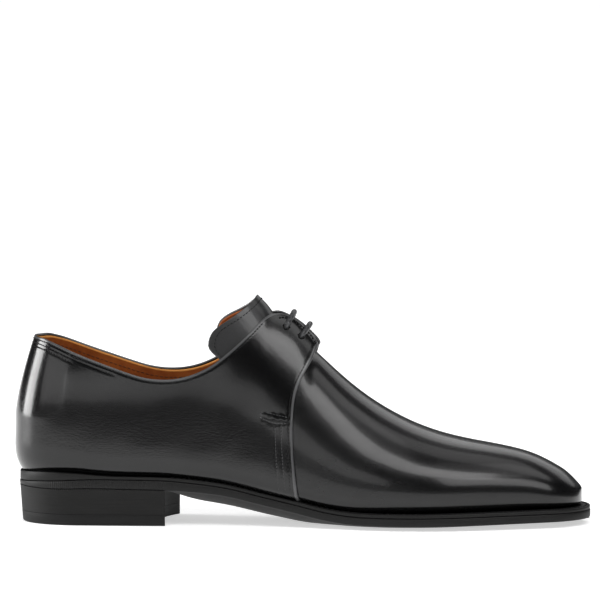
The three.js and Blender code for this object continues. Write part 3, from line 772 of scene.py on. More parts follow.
def ridge_place(x, from_ridge, grow, lift=None):
    """The place at x, a distance down from the ridge."""
    at = share_at(np.asarray(x, float), grow)
    across = np.abs(from_ridge) / last_section(at, grow)[2]
    level = np.arccos(across ** (last["square"](at) / 2)) / (math.pi / 2)
    return np.stack([round_of(at), level], -1)


# Round is in millimetres already, and a section is about 70 mm from its foot to the ridge.
place_size = np.array([1.0, 70.0])


def along(line, shares):
    """Places at shares of a line's length."""
    gone = lengths_along(line * place_size)
    return sampled(line, gone, shares * gone[-1])


def place_line(places):
    return line_through(np.array(places) * place_size, 0.5) / place_size


print("flap lift at its front:", round(float(flap_lift(share_at(throat_x))), 2), "mm")

# %% The four lines round one quarter
def topline(rise, lower=0.0):
    dip, back = collar_dip + rise, collar_back
    drop, climb = back - dip, flap_top - dip
    points = [(7.9, back + 0.25), (12, dip + 0.99 * drop), (20.5, dip + 0.875 * drop),
              (35, dip + 0.6 * drop), (56.5, dip + 0.235 * drop), (70, dip + 0.045 * drop),
              (82, dip), (93, dip + 0.045 * climb), (103.5, dip + 0.16 * climb),
              (112, dip + 0.315 * climb), (124, dip + 0.6 * climb), (133.5, dip + 0.865 * climb)]
    return line_through(np.array(points) - (0, lower), 0.6)


def front_edge(back=0.0):
    points = [(162.3, 1.045), (159.6, 0.973), (155.8, 0.9), (152.7, 0.82), (151.0, 0.73),
              (150.5, 0.58), (150.9, 0.42), (151.6, 0.34), (152.6, 0.2), (153.2, 0.1)]
    return line_through([(x - back, z * instep_height) for x, z in points], 0.6)


def quarter_lines(rise, grow=quarter_step, lower=0.0, back=0.0):
    """Bottom, top, back and front lines of one quarter as places."""
    top = find(*topline(rise, lower).T, grow, flap_lift)
    top[0, 0] = 0.0
    facing = [ridge_place(x, y + back, grow) for x, y in
              [(137.6, 11.6), (140.9, 8.1), (144.3, 5.7), (148.6, 4.6), (153, 4.5), (157.6, 4.5),
               (160, 4.9), (161.6 - back, 6.0)]]
    top = place_line([*top[::8], *facing])
    corner = [ridge_place(x - back, y, grow) for x, y in [(161.6, 6.0), (162.7, 7.9), (162.9, 9.6)]]
    side = find(*front_edge(back).T, grow, flap_lift)
    front = place_line([*corner, *side[::6], side[-1]])[::-1]
    front[0, 1] = -0.22
    bottom = np.array([(0.0, -0.22), (front[0, 0], -0.22)])
    back_line = np.array([(0.0, -0.22), tuple(top[0])])
    return bottom, top, back_line, front


def graded(length, coarse, fine, reach, start=False, end=True):
    """Shares from 0 to 1 whose steps are fine near an edge."""
    steps, gone = [0.0], 0.0
    while gone < length:
        near = min(length - gone if end else length, gone if start else length)
        step = fine + (coarse - fine) * min(1.0, near / reach)
        gone += step
        steps.append(gone)
    return np.array(steps) / steps[-1]


def patch(lines, a, b):
    """A grid of places between four lines."""
    bottom, top, back, front = lines
    low, high, left, right = along(bottom, a), along(top, a), along(back, b), along(front, b)
    a, b = a[None, :, None], b[:, None, None]
    corners = ((1 - a) * (1 - b) * low[0] + a * (1 - b) * low[-1]
               + (1 - a) * b * high[0] + a * b * high[-1])
    return ((1 - b) * low[None] + b * high[None] + (1 - a) * left[:, None]
            + a * right[:, None] - corners)


print("topline of", len(topline(0)), "points")

# %% The grid of both quarters
def both_sides(lines_of, a, b):
    """One grid from the inner front edge, round the heel, to the outer one, and its seam."""
    outer, inner = patch(lines_of(0.0), a, b), patch(lines_of(inner_collar_rise), a, b)
    outer[..., 0] *= -1
    seam = inner.shape[1] - 1
    places = np.concatenate([inner[:, ::-1], outer[:, 1:]], axis=1)
    places[:, seam, 0] = -1e-6
    return places, seam


def give(points):
    """Hand-lasted leather is never quite even: slow waves of less than a quarter millimetre."""
    x, y, z = points[..., 0], points[..., 1], points[..., 2]
    return (0.09 * np.sin(x / 12.1 + z / 21.3) * np.sin(y / 14.7 + z / 17.1 + 1.3)
            + 0.02 * np.sin(x / 5.3 - z / 7.7 + 0.6) * np.sin(z / 6.1 + y / 8.9))


def grid_normals(grid, row, column, axis):
    """Directions square to a grid, turned so that the one at row, column faces up the axis."""
    normal = unit(np.cross(np.gradient(grid, axis=0), np.gradient(grid, axis=1)))
    return normal if normal[row, column, axis] > 0 else -normal


def pressed(grid, paths, depth=0.14, width=0.6):
    """How far the leather is drawn in beside each seam."""
    flat = grid.reshape(-1, 3)
    total = np.zeros(len(flat))
    for path in paths:
        low, high = path.min(0) - 3, path.max(0) + 3
        near = np.where(((flat > low) & (flat < high)).all(1))[0]
        for chunk in np.array_split(near, max(1, len(near) // 1500)):
            gap = np.linalg.norm(flat[chunk][:, None] - path[None], axis=2).min(1)
            total[chunk] = np.maximum(total[chunk], np.exp(-((gap / width) ** 2)))
    return depth * total.reshape(grid.shape[:2])


quarter_places, seam = both_sides(quarter_lines, graded(172, 1.25, 0.4, 45),
                                  graded(92, 0.9, 0.35, 5))
quarter_places[:, seam, 1] = (quarter_places[:, seam - 1, 1] + quarter_places[:, seam + 1, 1]) / 2
print("quarter grid", quarter_places.shape[:2])

# %% [markdown]
# ## Where the quarters are stitched
#
# Rows of stitching follow the topline, edge the flaps and hold the front of each quarter to
# the vamp with three rows under a small stitched tab. They were read from the side, so they
# are given as x and z, and the same rows are sewn on the inner side.

# %% Stitch rows of the quarters
def inset_row(rise, inset, start=0.0, end=1.0):
    """A row that runs at an even distance inside the topline."""
    line = topline(rise)
    run = unit(np.gradient(line, axis=0))
    line = line + np.stack([run[:, 1], -run[:, 0]], -1) * inset
    count = len(line)
    return line[int(start * count):max(int(end * count), 2)]


def quarter_rows(rise):
    return {
        "topline": inset_row(rise, 1.0),
        "collar": inset_row(rise, 3.0, 0.0, 0.36),
        "zigzag": inset_row(rise, 4.9, 0.0, 0.19),
        "front": line_through([(161.4, 99.4), (160.3, 95.4), (157.8, 89.2), (154.1, 82.4),
                               (150.9, 75), (149.1, 67), (148.7, 56), (148.7, 45.5),
                               (149.2, 34), (149.8, 20)]),
        "second": line_through([(144.7, 55.8), (145.1, 45.5), (145.8, 34), (147.1, 19.5)]),
        "third": line_through([(141.5, 54.3), (141.8, 45.5), (142.4, 34), (143.6, 19.5)]),
        "tab_top": line_through([(148.2, 59.8), (141, 61.3), (135.2, 62.5)]),
        "tab_tip": line_through([(134.6, 62.4), (133.3, 61.6), (132.7, 60.2)]),
        "tab_foot": line_through([(132.9, 59.8), (137.4, 57.8), (140.8, 56.7), (148.8, 56.5)]),
    }


def on_quarter(line, side, grow=quarter_step):
    """A side-view line laid on the quarter, with the directions out of the leather."""
    places = find(*np.asarray(line).T, quarter_step, flap_lift)
    places[:, 0] = np.maximum(places[:, 0], 0.05) * side
    here = side_point(places, grow, flap_lift)
    ahead = side_point(places + np.array([0.3, 0.0]) * side, grow, flap_lift)
    above = side_point(places + np.array([0.0, 0.004]), grow, flap_lift)
    out = unit(np.cross(ahead - here, above - here) * side)
    out = np.where((out[:, 1:2] * side) < 0, -out, out)
    return here, out


def flap_spot(x, from_ridge):
    """A point on the flap and the direction out of it."""
    side = 1 if from_ridge >= 0 else -1
    places = np.array([ridge_place(x, abs(from_ridge), quarter_step),
                       ridge_place(x + 1, abs(from_ridge), quarter_step),
                       ridge_place(x, abs(from_ridge) + 1, quarter_step)]) * (side, 1)
    here, ahead, beside = side_point(places, quarter_step, flap_lift)
    out = unit(np.cross(ahead - here, beside - here))
    return here, out if out[2] > 0 else -out


seam_paths = {}
facing_row = np.array([(141.8, 10.2), (145, 7.7), (149, 6.6), (153, 6.5), (157, 6.5), (159, 7),
                       (160.4, 8.6)])
for side, rise in ((-1, 0.0), (1, inner_collar_rise)):
    for row, line in quarter_rows(rise).items():
        seam_paths[row, side] = on_quarter(line, side)
    spots = [flap_spot(x, side * y) for x, y in line_through(facing_row, 0.8)]
    seam_paths["facing", side] = tuple(np.array(part) for part in zip(*spots))
print(len(seam_paths), "rows")

# %% The quarters' leather
def tab_relief(grid, corners):
    """1 on the small tab and 0 beside it, seen from the side."""
    x, z = grid[..., 0], grid[..., 2]
    inside = np.full(x.shape, 9.0)
    for (x0, z0), (x1, z1) in zip(corners, np.roll(corners, -1, 0)):
        size = math.hypot(x1 - x0, z1 - z0)
        inside = np.minimum(inside, ((z - z0) * (x1 - x0) - (x - x0) * (z1 - z0)) / size)
    return soft_step(inside, -0.35, 0.35)


quarter_face = side_point(quarter_places, quarter_step, flap_lift)
out_of_leather = grid_normals(quarter_face, len(quarter_face) // 2, 5, axis=1)
dents = pressed(quarter_face, [path for (row, _), (path, _) in seam_paths.items()
                               if not row.startswith("tab")])
tab_outline = np.array([(150.5, 59.2), (147.6, 59.6), (135, 62.2), (133.2, 60.6), (137.6, 58.1),
                        (141, 57), (150.5, 56.8)])
above_welt = quarter_face[..., 2] - edge_top(quarter_face[..., 0])
counter = 0.45 * np.exp(-((above_welt - 8) / 12) ** 2)
swell = give(quarter_face) * 0.8 + counter + 0.4 * tab_relief(quarter_face, tab_outline)
quarter_thickness = 1.5
quarter_back = quarter_face - out_of_leather * quarter_thickness
quarter_face = quarter_face + out_of_leather * (swell - dents)[..., None]
# The rim and the two face rows along it take the edge calf, whose grey is a painted highlight.
quarters = sheet("quarters", quarter_face, quarter_back, [quarter_calf, edge_highlight_calf, quarter_calf],
                 edge_rows=2)
print("quarters", len(quarters.data.polygons), "faces")

# %% [markdown]
# ## Eyelets
#
# These shoes have plain punched holes with no metal. Each hole is cut through the leather with
# a round cutter that stands square to the flap.

# %% Cut the holes
eyelet_from_ridge = 12.5
eyelet_x = [throat_x - 17.6, throat_x - 9.4]


def punch(piece, radius=1.75):
    """Cuts a round hole through a piece at each eyelet."""
    bars = []
    for x in eyelet_x:
        for side in (-1, 1):
            here, out = flap_spot(x, side * eyelet_from_ridge)
            bars.append(tube_grid(np.array([here - out * 6, here, here + out * 6]), radius, 28,
                                  np.tile(unit(np.cross(out, [0, 1, 0])), (3, 1))))
    cutter = tubes("punch", bars, quarter_calf)
    apply_modifier(piece, "BOOLEAN", object=cutter, solver="EXACT")
    bpy.data.objects.remove(cutter)


punch(quarters)
print("quarters with holes", len(quarters.data.polygons), "faces")

# %% [markdown]
# ## The lining
#
# Inside the quarters is a soft tan leather. It stops just below the topline, where its rounded
# edge shows as a light bead against the black, and one row of stitches runs below that.

# %% Lining of the quarters
def lining_lines(rise):
    top = quarter_lines(rise, quarter_step, 0.35, 2.6)[1]
    inner_front = find(*line_through([
        (159.4, 98.4), (157, 93), (153, 86), (146, 73), (139.5, 60), (133.5, 45), (131, 30),
        (130, 20)]).T, quarter_step, flap_lift)
    front = place_line([top[-1], *inner_front[::6], inner_front[-1]])[::-1]
    front[0, 1] = -0.2
    bottom = np.array([(0.0, -0.2), tuple(front[0])])
    return bottom, top, np.array([(0.0, -0.2), tuple(top[0])]), front


lining_places, _ = both_sides(lining_lines, graded(165, 1.6, 0.45, 4), graded(92, 1.6, 0.4, 5))
lining_face = side_point(lining_places, -0.02, flap_lift)
lining_back = side_point(lining_places, -1.3, flap_lift)
lining = sheet("quarter_lining", lining_face, lining_back, [tan_lining, lining_bead, tan_lining],
               edge_rows=2)
punch(lining)
print("lining", len(lining.data.polygons), "faces")

# %% [markdown]
# ## The vamp
#
# The vamp covers the front of the foot in one piece. Its grid runs from a hidden edge under
# the quarters to the tip of the toe, each row going up the outer wall, over the ridge and down
# the inner wall.

# %% Vamp
def over_point(around, across, grow, lift=None):
    """Points of a sheet that passes over the ridge. across is negative on the outer side."""
    at = at_of(around)
    raised = lift(at) if lift else 0.0
    return last_point(at, np.where(across < 0, -1, 1), level_of(1 - np.abs(across)), grow, raised)


vamp_across = np.linspace(-1.22, 1.22, 181)
rear_line = line_through([(158.6, 120), (158.6, 96), (157.5, 88), (150, 75), (143.6, 64.4),
                          (136, 47), (131.6, 36.8), (130, 28), (129.6, 14)])
rear_places = find(*rear_line.T, 0.0)
order = np.argsort(rear_places[:, 1])
rear_round = np.interp(1 - np.abs(vamp_across), rear_places[order, 1], rear_places[order, 0])
rear_round = np.minimum(rear_round, round_of(share_at(154.0)))
along_vamp = graded(165, 1.1, 0.35, 9)[:, None]
around = rear_round[None] + (toe_round - rear_round[None]) * along_vamp
across = np.broadcast_to(vamp_across, around.shape)


def vamp_lift(at):
    """Under the flaps the vamp follows them up, out of sight."""
    x = at * last_length - last_back
    rising = soft_step(x, throat_x - 14, throat_x - 9)
    return 4.0 * rising * (1 - soft_step(x, throat_x - 9, throat_x - 2))


vamp_face = over_point(around, across, 0.0, vamp_lift)
vamp_out = grid_normals(vamp_face, 60, 90, axis=2)
vamp_back = over_point(around, across, -1.5, vamp_lift)
fade = soft_step(toe_round - around, 3, 25)
vamp_face = vamp_face + vamp_out * (give(vamp_face) * 0.7 * fade)[..., None]
vamp = sheet("vamp", vamp_face, vamp_back, [vamp_calf, vamp_calf, tan_lining], open_end=True)
print("vamp", len(vamp.data.polygons), "faces")

# %% [markdown]
# ## The tongue
#
# The tongue is a black sheet with a tan lining. It stands up behind the lace and its sides tuck
# under the flaps. Its rear edge has rounded shoulders and is stitched all round.

# %% Tongue
tongue_grow = quarter_step - 2.6 - 0.3


def tongue_dip(at):
    return -2.4 * soft_step(at * last_length - last_back, throat_x - 30, throat_x - 20)


tongue_side = [(129.8, 1.0), (127.4, 0.972), (119.6, 0.92), (109.4, 0.864), (106.0, 0.834),
               (104.6, 0.793), (106.0, 0.765), (110.8, 0.73), (121.6, 0.655), (134, 0.57)]
tongue_edge = line_through([(x, z * tongue_top) for x, z in tongue_side])


def tongue_grid(grow, inset=0.0, columns=131, rows=46):
    places = find(*tongue_edge.T, tongue_grow, tongue_dip)
    places[0, 1] = 1.0
    spread_from_ridge = 1 - places[:, 1]
    spread_from_ridge[0] = 0
    share = np.linspace(-1, 1, columns)
    line = np.stack([places[:, 0], spread_from_ridge], -1)
    half = along(line, np.abs(share))
    start, across = half[:, 0] + inset, half[:, 1] * (1 - inset / 60) * np.sign(share)
    reach = np.abs(across) / across.max()
    end = round_of(share_at(158.0 - 12 * reach**2))
    a = graded(50, 1.2, 0.35, 4, start=True, end=False)[:, None]
    around = start[None] + (end - start)[None] * a
    points = over_point(around, np.broadcast_to(across, around.shape), grow, tongue_dip)
    free = (1 - soft_step(points[..., 0], 108, 134)) * soft_step(points[..., 1], 4, 22)
    return points + free[..., None] * np.array([1.2, -1.5, 3.0])


tongue_face = tongue_grid(tongue_grow)
tongue_out = grid_normals(tongue_face, 20, 65, axis=2)
# The tongue's face carries the painted sheen of its calf, and its rim the painted highlight of the
# edges.
tongue = sheet("tongue_leather", tongue_face + tongue_out * (give(tongue_face) * 0.8)[..., None],
               tongue_grid(tongue_grow - 1.1), [tongue_sheen_calf, edge_highlight_calf, tongue_sheen_calf])
tongue_lining = sheet("tongue_lining", tongue_grid(tongue_grow - 1.12, 0.25),
                      tongue_grid(tongue_grow - 2.2, 0.25), [tan_lining])
print("tongue", len(tongue.data.polygons), "faces")

# %% [markdown]
# ## Welt, sole and heel
#
# Under the upper come the layers that are sewn and nailed to it. Each is drawn as a profile
# carried round the sole's outline. The corners of every edge are rounded with a rasp and then
# waxed, so each profile turns its corners in small steps.

# %% The sole's outline
def sole_spread(at, inset=0.0):
    length = sole_length - 2 * inset
    outer, inner = sole["outer"](at) * half_ball, sole["inner"](at) * half_ball
    ends = (round_end(at * length, sole_heel_reach * sole_length - inset, heel_power)
            * round_end((1 - at) * length, sole_toe_reach * sole_length - inset, toe_power))
    return inset + at * length, (inner - outer) / 2, ((inner + outer) / 2 - inset) * ends


def welt_bottom(x):
    return edge_top(x) - 2.1 * sole["welt"](np.clip(x / sole_length, 0, 1))


def wheel_marks(plan):
    """How far round an outline each point is, and where the seat wheel has marked the edge."""
    marked = soft_step(plan[:, 0], 12, 22) * (1 - soft_step(plan[:, 0], 82, 90))
    return lengths_along(plan), marked


def sole_bottom(x):
    return welt_bottom(x) - 0.3 - 4.2 * sole["thick"](np.clip(x / sole_length, 0, 1))


sole_shares = outline_shares(80, sole_heel_reach, sole_toe_reach, 500)
x, middle, half = sole_spread(sole_shares)
sole_gone = lengths_along(np.column_stack([x, half]))
sole_at = np.interp(np.linspace(0, sole_gone[-1], 330), sole_gone, sole_shares)


def outline(at):
    """The sole's outline out and back: points in plan and the directions out of it."""
    x, middle, half = sole_spread(at)
    outer = np.stack([x, middle - half], -1)
    inner = np.stack([x, middle + half], -1)[-2:0:-1]
    ring = np.vstack([outer, inner])
    run = unit(np.roll(ring, -1, 0) - np.roll(ring, 1, 0))
    return ring, np.stack([run[:, 1], -run[:, 0]], -1)


rim, rim_out = outline(sole_at)
print("outline of", len(rim), "points,", "outward is", rim_out[len(sole_at) // 2].round(2))

# %% Carry a profile round it
def carried(name, profile, material):
    """A closed ring whose profile is a list of (inset, height) for each point of the outline."""
    grid = np.stack([
        np.column_stack([rim - rim_out * np.broadcast_to(inset, len(rim))[:, None],
                         np.broadcast_to(height, len(rim))])
        for inset, height in profile], axis=1)
    rows, columns = grid.shape[:2]
    grid = np.concatenate([grid, grid[:1]])
    faces = grid_faces(rows + 1, columns, wrap=True)
    return face_outwards(add_mesh(name, grid.reshape(-1, 3), faces, [material]))


top, low = edge_top(rim[:, 0]), welt_bottom(rim[:, 0])
tall = top - low
welt = carried("welt_strip", [
    (9, low), (0.7, low), (0.35, low + 0.2), (0.22, low + 0.5), (0.2, low + 0.5 * tall),
    (0.22, top - 0.5), (0.36, top - 0.2), (0.62, top - 0.05), (1.0, top), (1.5, top),
    (1.75, top - 0.12), (2.0, top - 0.2), (2.3, top - 0.12), (2.6, top), (4, top),
    (11, top - 0.1)], welt_leather)
print("welt", len(welt.data.polygons), "faces")

# %% Outsole
def outsole_grid():
    """Sections of the sole from its top edge, down round the corner and in to the middle."""
    count = len(sole_at)
    x, middle, half = sole_spread(sole_at)
    inner_out = np.vstack([rim_out[:1], rim_out[:count - 1:-1], rim_out[count - 1:count]])
    top = welt_bottom(x) - 0.15
    bottom = np.maximum(0.0, sole_bottom(x))
    tall = top - bottom
    columns = []
    profile = [(6, top), (0.5, top), (0.16, top - 0.15), (0.02, top - 0.45), (0, top - 0.4 * tall),
               (0, bottom + 0.42 * tall), (0.05, bottom + 0.7), (0.3, bottom + 0.25),
               (0.75, bottom + 0.05), (1.3, bottom)]
    for side, out in ((-1, rim_out[:count]), (1, inner_out[:count])):
        edge = np.stack([x, middle + side * half], -1)
        rings = [np.column_stack([edge - out * inset, z]) for inset, z in profile]
        rim_point = rings[-1]
        centre = np.column_stack([x, middle])
        for share in (0.93, 0.84, 0.72, 0.58, 0.42, 0.26, 0.12, 0.0):
            hang = sole["belly"](sole_at) * 4.2 * (1 - share ** sole["flat"](sole_at))
            plan = centre + (rim_point[:, :2] - centre) * share
            rings.append(np.column_stack([plan, np.maximum(0, bottom - hang)]))
        columns.append(np.stack(rings, axis=1))
    outer, inner = columns
    return np.concatenate([outer, inner[:, ::-1][:, 1:]], axis=1)


grid = outsole_grid()
rows, columns = grid.shape[:2]
outsole = add_mesh("outsole_leather", grid.reshape(-1, 3), grid_faces(rows, columns, wrap=True),
                   [sole_edge])
gone, marked = wheel_marks(rim[:rows])
give_values(outsole, gone=np.repeat(gone, columns), wheel=np.repeat(marked, columns))
face_outwards(outsole)
print("outsole", len(outsole.data.polygons), "faces")

# %% The heel, in layers
heel_length, breast_skew, breast_hollow = 81.5, 3.0, 7.0


def heel_outline(inset):
    plain = sole_spread(sole_at)[0]
    x, middle, half = sole_spread(sole_at, inset)
    outer, inner = np.stack([x, middle - half], -1), np.stack([x, middle + half], -1)
    keep = plain < heel_length - 1.2
    corners = []
    for side, end in ((-1, heel_length), (1, heel_length + breast_skew)):
        i = np.searchsorted(x, end)
        corners.append([end, middle[i] + side * half[i]])
    t = np.linspace(0, 1, 30)[:, None]
    breast = np.array(corners[0]) * (1 - t) + np.array(corners[1]) * t
    breast[:, 0] -= breast_hollow * 4 * (t * (1 - t))[:, 0]
    inner_keep = plain < heel_length + breast_skew - 1.2
    return np.vstack([outer[keep], breast, inner[inner_keep][::-1][:-1]])


def heel_piece(name, levels, material, top=None):
    """A stack of outlines. levels are (height, inset); top gives the last ones' height at x."""
    rings = []
    for height, inset in levels:
        plan = heel_outline(inset)
        z = np.full(len(plan), float(height))
        if top is not None:
            z = np.minimum(z, top(plan[:, 0]) + (height - 60) * (height > 50))
        rings.append(np.column_stack([plan, z]))
    grid = np.stack(rings)
    rows, columns = grid.shape[:2]
    faces = grid_faces(rows, columns, wrap=True)
    faces += [list(range(columns)), list(range((rows - 1) * columns, rows * columns))[::-1]]
    piece = add_mesh(name, grid.reshape(-1, 3), faces, [material])
    gone, marked = wheel_marks(heel_outline(0))
    give_values(piece, gone=np.tile(gone, rows),
                wheel=np.tile(marked, rows) * soft_step(grid[..., 2].ravel(), 18.4, 18.9))
    face_outwards(piece)
    apply_modifier(piece, "BEVEL", width=0.0003, segments=2, limit_method="ANGLE",
                   angle_limit=math.radians(50))
    return piece


def taper(z):
    """How far a layer's edge stands in from the seat above, at a height."""
    return 1.6 * (1 - z / 22)


heel_rubber_piece = heel_piece("heel_rubber_piece", [
    (0.0, taper(0) + 0.5), (0.35, taper(0) + 0.12), (0.8, taper(0)), (3, taper(3)),
    (5.8, taper(5.8)), (5.95, taper(6) + 0.05)], heel_rubber)
lift_joints = [6.0, 10.3, 14.6]
levels = []
for foot, head in zip(lift_joints, [*lift_joints[1:], 21.0]):
    levels += [(foot, taper(foot) + 0.04), (foot + 0.1, taper(foot)), (foot + 0.3, taper(foot)),
               (head - 0.3, taper(head)), (head - 0.1, taper(head))]
levels = levels[:-2] + [(18.3, taper(18.3)), (18.8, taper(18.8)), (60.0, 0.1)]
heel_stack = heel_piece("heel_stack", levels, heel_leather,
                        top=lambda x: np.minimum(sole_bottom(x) - 0.05, 60.0))
print("heel", len(heel_stack.data.polygons), len(heel_rubber_piece.data.polygons), "faces")

# %% Sock lining on the insole
foot_at = np.interp(np.linspace(0, round_list[-1], 150), round_list, share_list)
foot_share = np.linspace(-1, 1, 41)
foot_edge = [last_point(foot_at, side, -1.0, -1.55) for side in (-1, 1)]
t = (foot_share[None, :, None] + 1) / 2
sock_top = foot_edge[0][:, None] * (1 - t) + foot_edge[1][:, None] * t
dish = 0.9 * np.abs(foot_share[None]) ** 5
sock_top[..., 2] = edge_top(sock_top[..., 0]) + 1.45 + dish
sock_thickness = 1.6
sock_under = sock_top - np.array([0, 0, sock_thickness])
sock = sheet("sock_lining", sock_top, sock_under, [tan_lining])
print("sock", len(sock.data.polygons), "faces")

# %% [markdown]
# ## The lace
#
# One round waxed lace makes two bars across the throat. It comes up through a hole, crosses
# just above the flaps, goes down through the hole opposite and runs underneath to the next
# pair. Its path repeats the solid's, which was drawn clear of the leather.

# %% Lace
lace_radius = 1.5
over, under = lace_radius + 0.6, 2.6 + lace_radius + 0.6


def lace_bar(x, way):
    spots = [flap_spot(x + 2.4 * (1 - share**2), way * share * eyelet_from_ridge)
             for share in (-1, -0.5, 1e-4, 0.5, 1)]
    above = [here + out * over for here, out in spots]
    return [spots[0][0] - spots[0][1] * under, *above, spots[-1][0] - spots[-1][1] * under]


def rounded_path(corners, radius):
    """Straight runs with their corners rounded off."""
    points = [corners[0]]
    t = np.linspace(0, 1, 9)[:, None]
    for before, corner, after in zip(corners, corners[1:], corners[2:]):
        enter = corner + unit(before - corner) * radius
        leave = corner + unit(after - corner) * radius
        points += list((1 - t) ** 2 * enter + 2 * t * (1 - t) * corner + t**2 * leave)
    return evened(np.array([*points, corners[-1]]), 0.35)


upper_bar, lower_bar = lace_bar(eyelet_x[0], 1), lace_bar(eyelet_x[1], -1)
tail = lower_bar[-1] * 0.55 + upper_bar[0] * 0.45
lace_path = rounded_path(np.array([*upper_bar, *lower_bar, tail]), 2.1)
print("lace path", round(float(np.linalg.norm(np.diff(lace_path, axis=0), axis=1).sum())), "mm")

# %% Braid on the lace
def lace_finish():
    material, shader, place = new_finish("waxed_lace", Coat_Roughness=0.25, Coat_Weight=0.4)
    twist, gone = painted(place, "twist") * 4, painted(place, "gone") * 1.6
    right, left = place.sum("SINE", twist + gone), place.sum("SINE", twist - gone)
    strands = place.sum("MAXIMUM", right, left)
    fuzz = noise(place, 0.0003, detail=2.0)
    tint = (strands * 0.35 + fuzz * 0.6).smooth(0.0, 0.9).blend(
        (0.02, 0.02, 0.021), (0.075, 0.076, 0.08))
    connect(shader, Base_Color=tint, Roughness=0.38 + fuzz * 0.2,
            Normal=bump(strands * 0.5 + fuzz * 0.2, 0.00016))
    return material


waxed_lace = lace_finish()
lace_sides = 20
lace = tubes("lace_cord", [tube_grid(lace_path, lace_radius, lace_sides)], waxed_lace)
ring, spoke = np.divmod(np.arange(len(lace_path) * lace_sides), lace_sides)
give_values(lace, twist=spoke * 2 * math.pi / lace_sides, gone=ring * 0.35)
print("lace", len(lace.data.polygons), "faces")

# %% [markdown]
# ## Thread
#
# Each stitch is a small raised grain of waxed thread that dips into the leather at both ends.
# They are short here, about thirteen to the inch. Most are black on black, so that only their
# relief shows, and those of the tab and of the rows below it are paler, a painted glint.

# %% Stitches
upper_thread, tab_thread = [], []
for (row, side), (path, out) in seam_paths.items():
    if row in ("topline", "front", "facing", "collar", "zigzag"):
        slant = 0.4 if row == "zigzag" else 0.07
        upper_thread += stitch_grids(path, out, pitch=1.9, length=1.2, width=0.55, slant=slant,
                                     sink=0.15)
    else:
        tab_thread += stitch_grids(path, out, pitch=1.7, length=1.2, width=0.46, slant=0.1,
                                   sink=0.1)
stitching = tubes("upper_stitching", upper_thread, black_thread)
tab_stitching = tubes("tab_stitching", tab_thread, pale_glint_thread)
sewn, sewn_out = tongue_face[6], tongue_out[6]
path = evened(sewn, 0.4)[4:-4]
near = [int(np.argmin(((sewn - point) ** 2).sum(1))) for point in path]
tongue_rows = stitch_grids(path, sewn_out[near], pitch=2.1, length=1.5, width=0.48, sink=0.2)
tongue_stitching = tubes("tongue_stitching", tongue_rows, black_thread)
print("stitches", len(upper_thread), len(tongue_rows))

# %% Welt stitches and lining stitches
groove = np.column_stack([rim - rim_out * 2.05, edge_top(rim[:, 0]) - 0.02])
in_front = np.where(groove[:, 0] > 84)[0]
groove = evened(groove[in_front[0]:in_front[-1] + 1], 0.5)
groove_up = np.tile([0.0, 0.0, 1.0], (len(groove), 1))
welt_rows = stitch_grids(groove, groove_up, pitch=3.1, length=2.3, width=0.6)
welt_stitching = tubes("welt_stitching", welt_rows, black_thread)
lining_rows = []
for side, rise in ((-1, 0.0), (1, inner_collar_rise)):
    path, out = on_quarter(inset_row(rise, 3.6, 0.0, 0.8), side, -1.3)
    lining_rows += stitch_grids(path, -out, pitch=2.6, length=1.9, width=0.4)
lining_stitching = tubes("lining_stitching", lining_rows, brown_thread)
print("welt and lining stitches ready")

# %% [markdown]
# ## The studio
#
# Black leather has almost no colour of its own. What is seen on it is the studio: the white
# floor low down, the dark room higher up, and the lamps as bright bands. So the lamps are placed
# by where their reflections fall in the photograph. Further off, the floor glows a little more,
# so that the background stays one plain white.

# %% Floor
def floor_finish():
    material, shader, place = new_finish("studio_floor", Specular_IOR_Level=0.2,
                                         Emission_Strength=0.72)
    slow = noise(place, 0.6, detail=2.0)
    tint = slow.blend((0.8, 0.8, 0.8), (0.82, 0.82, 0.82))
    distance = place.node("ShaderNodeVectorMath", out=1, operation="LENGTH", sockets={0: place})
    glow = tint * (1 + 0.55 * distance.smooth(1.2, 4.6))
    connect(shader, Base_Color=tint, Emission_Color=glow, Roughness=0.8 + slow * 0.05)
    return material


floor_sides, floor_radii, floor_height = 96, (0.2, 1, 4, 40), -0.0002
angle = np.linspace(0, 2 * math.pi, floor_sides, endpoint=False)
compass = np.stack([np.cos(angle), np.sin(angle), 0 * angle], -1)
floor_points = np.vstack([[[0, 0, 0]], *[radius * compass for radius in floor_radii]])
floor_points[:, 2] = floor_height
floor_faces = [[0, 1 + i, 1 + (i + 1) % floor_sides] for i in range(floor_sides)]
for ring in range(len(floor_radii) - 1):
    floor_faces += grid_faces(2, floor_sides, 1 + floor_sides * ring, wrap=True)
floor_mesh = bpy.data.meshes.new("floor")
floor_mesh.from_pydata(floor_points.tolist(), [], floor_faces)
floor_mesh.materials.append(floor_finish())
floor = bpy.data.objects.new("floor", floor_mesh)
bpy.context.scene.collection.objects.link(floor)
print("floor 40 m in radius")

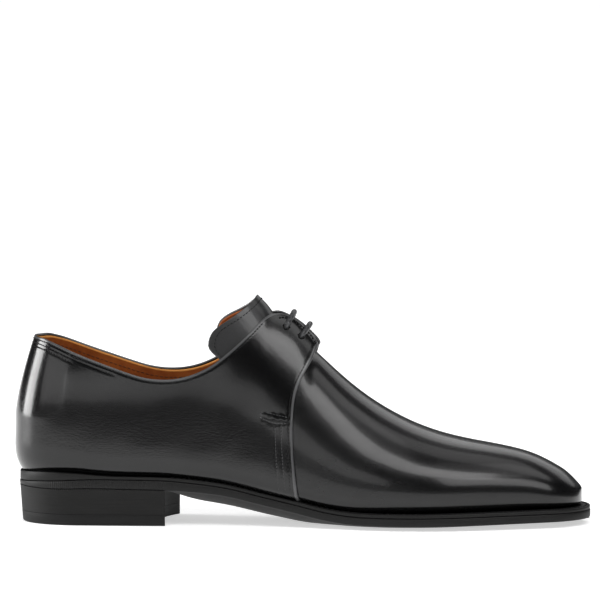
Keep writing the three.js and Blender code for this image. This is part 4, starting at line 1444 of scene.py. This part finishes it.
# %% Lamps
def softbox(name, turn, rise, wide, tall, radiance, away=3.2):
    """A rectangular lamp seen from the shoe at a compass turn and a rise, both in degrees."""
    lamp = bpy.data.lights.new(name, "AREA")
    width = 2 * away * math.tan(math.radians(wide / 2))
    height = 2 * away * math.tan(math.radians(tall / 2))
    lamp.shape, lamp.size, lamp.size_y = "RECTANGLE", width, height
    lamp.energy = radiance * math.pi * width * height
    turn, rise = math.radians(turn), math.radians(rise)
    flat = away * math.cos(rise)
    target = Vector((0.0, 0.0, 0.06))
    stand = bpy.data.objects.new(name, lamp)
    stand.location = target + Vector((flat * math.sin(turn), flat * math.cos(turn),
                                      away * math.sin(rise)))
    look = target - stand.location
    stand.rotation_euler = look.to_track_quat("-Z", "Y").to_euler()
    bpy.context.scene.collection.objects.link(stand)
    return stand


lamps = """
name       turn rise wide tall radiance
heel_strip -80  17   26   46   8.0
left_front -133 18   46   22   1.5
low_front  -166 14   23   12   1.5
toe_front  134  32   40   22   2.6
top_front  166  55   50   24   3.6
top_right  100  62   50   24   0.6
top_back   40  62    60   20   0.8
back       20   28   50   22   0.9
"""
for row in lamps.split("\n")[2:-1]:
    name, *numbers = row.split()
    softbox(name, *[float(number) for number in numbers])
room = bpy.data.worlds.new("studio_room")
room.use_nodes = True
background = room.node_tree.nodes["Background"]
background.inputs["Color"].default_value = (0.06, 0.06, 0.062, 1.0)
bpy.context.scene.world = room
view = bpy.context.scene.view_settings
view.view_transform, view.gamma = "Standard", 0.88
print("lamps ready")

# %% [markdown]
# ## Joining it to the solids
#
# Every piece rides on the shoe's one body and stands for the solid whose place it takes, so
# that the solids stay behind for weight and collision.

# %% Ride and replace
stands_for = [
    (quarters, "calf_leather", ["upper"]),
    (vamp, "calf_leather", []),
    (lining, "lining_leather", []),
    (tongue, "calf_leather", ["tongue"]),
    (tongue_lining, "lining_leather", []),
    (welt, "sole_leather", ["welt"]),
    (outsole, "sole_leather", ["outsole"]),
    (heel_stack, "sole_leather", ["heel_lift_1", "heel_lift_2", "heel_lift_3"]),
    (heel_rubber_piece, "heel_rubber", ["heel_top_piece"]),
    (sock, "lining_leather", ["insole"]),
    (lace, "lace_cord", ["lace"]),
    (stitching, "calf_leather", []),
    (tab_stitching, "calf_leather", []),
    (tongue_stitching, "calf_leather", []),
    (welt_stitching, "sole_leather", []),
    (lining_stitching, "lining_leather", []),
]
for piece, slot, nodes in stands_for:
    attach(piece, "root")
    if nodes:
        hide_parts(*nodes)
    count = sum(len(p.vertices) - 2 for p in piece.data.polygons)
    print(piece.name, count, "triangles")
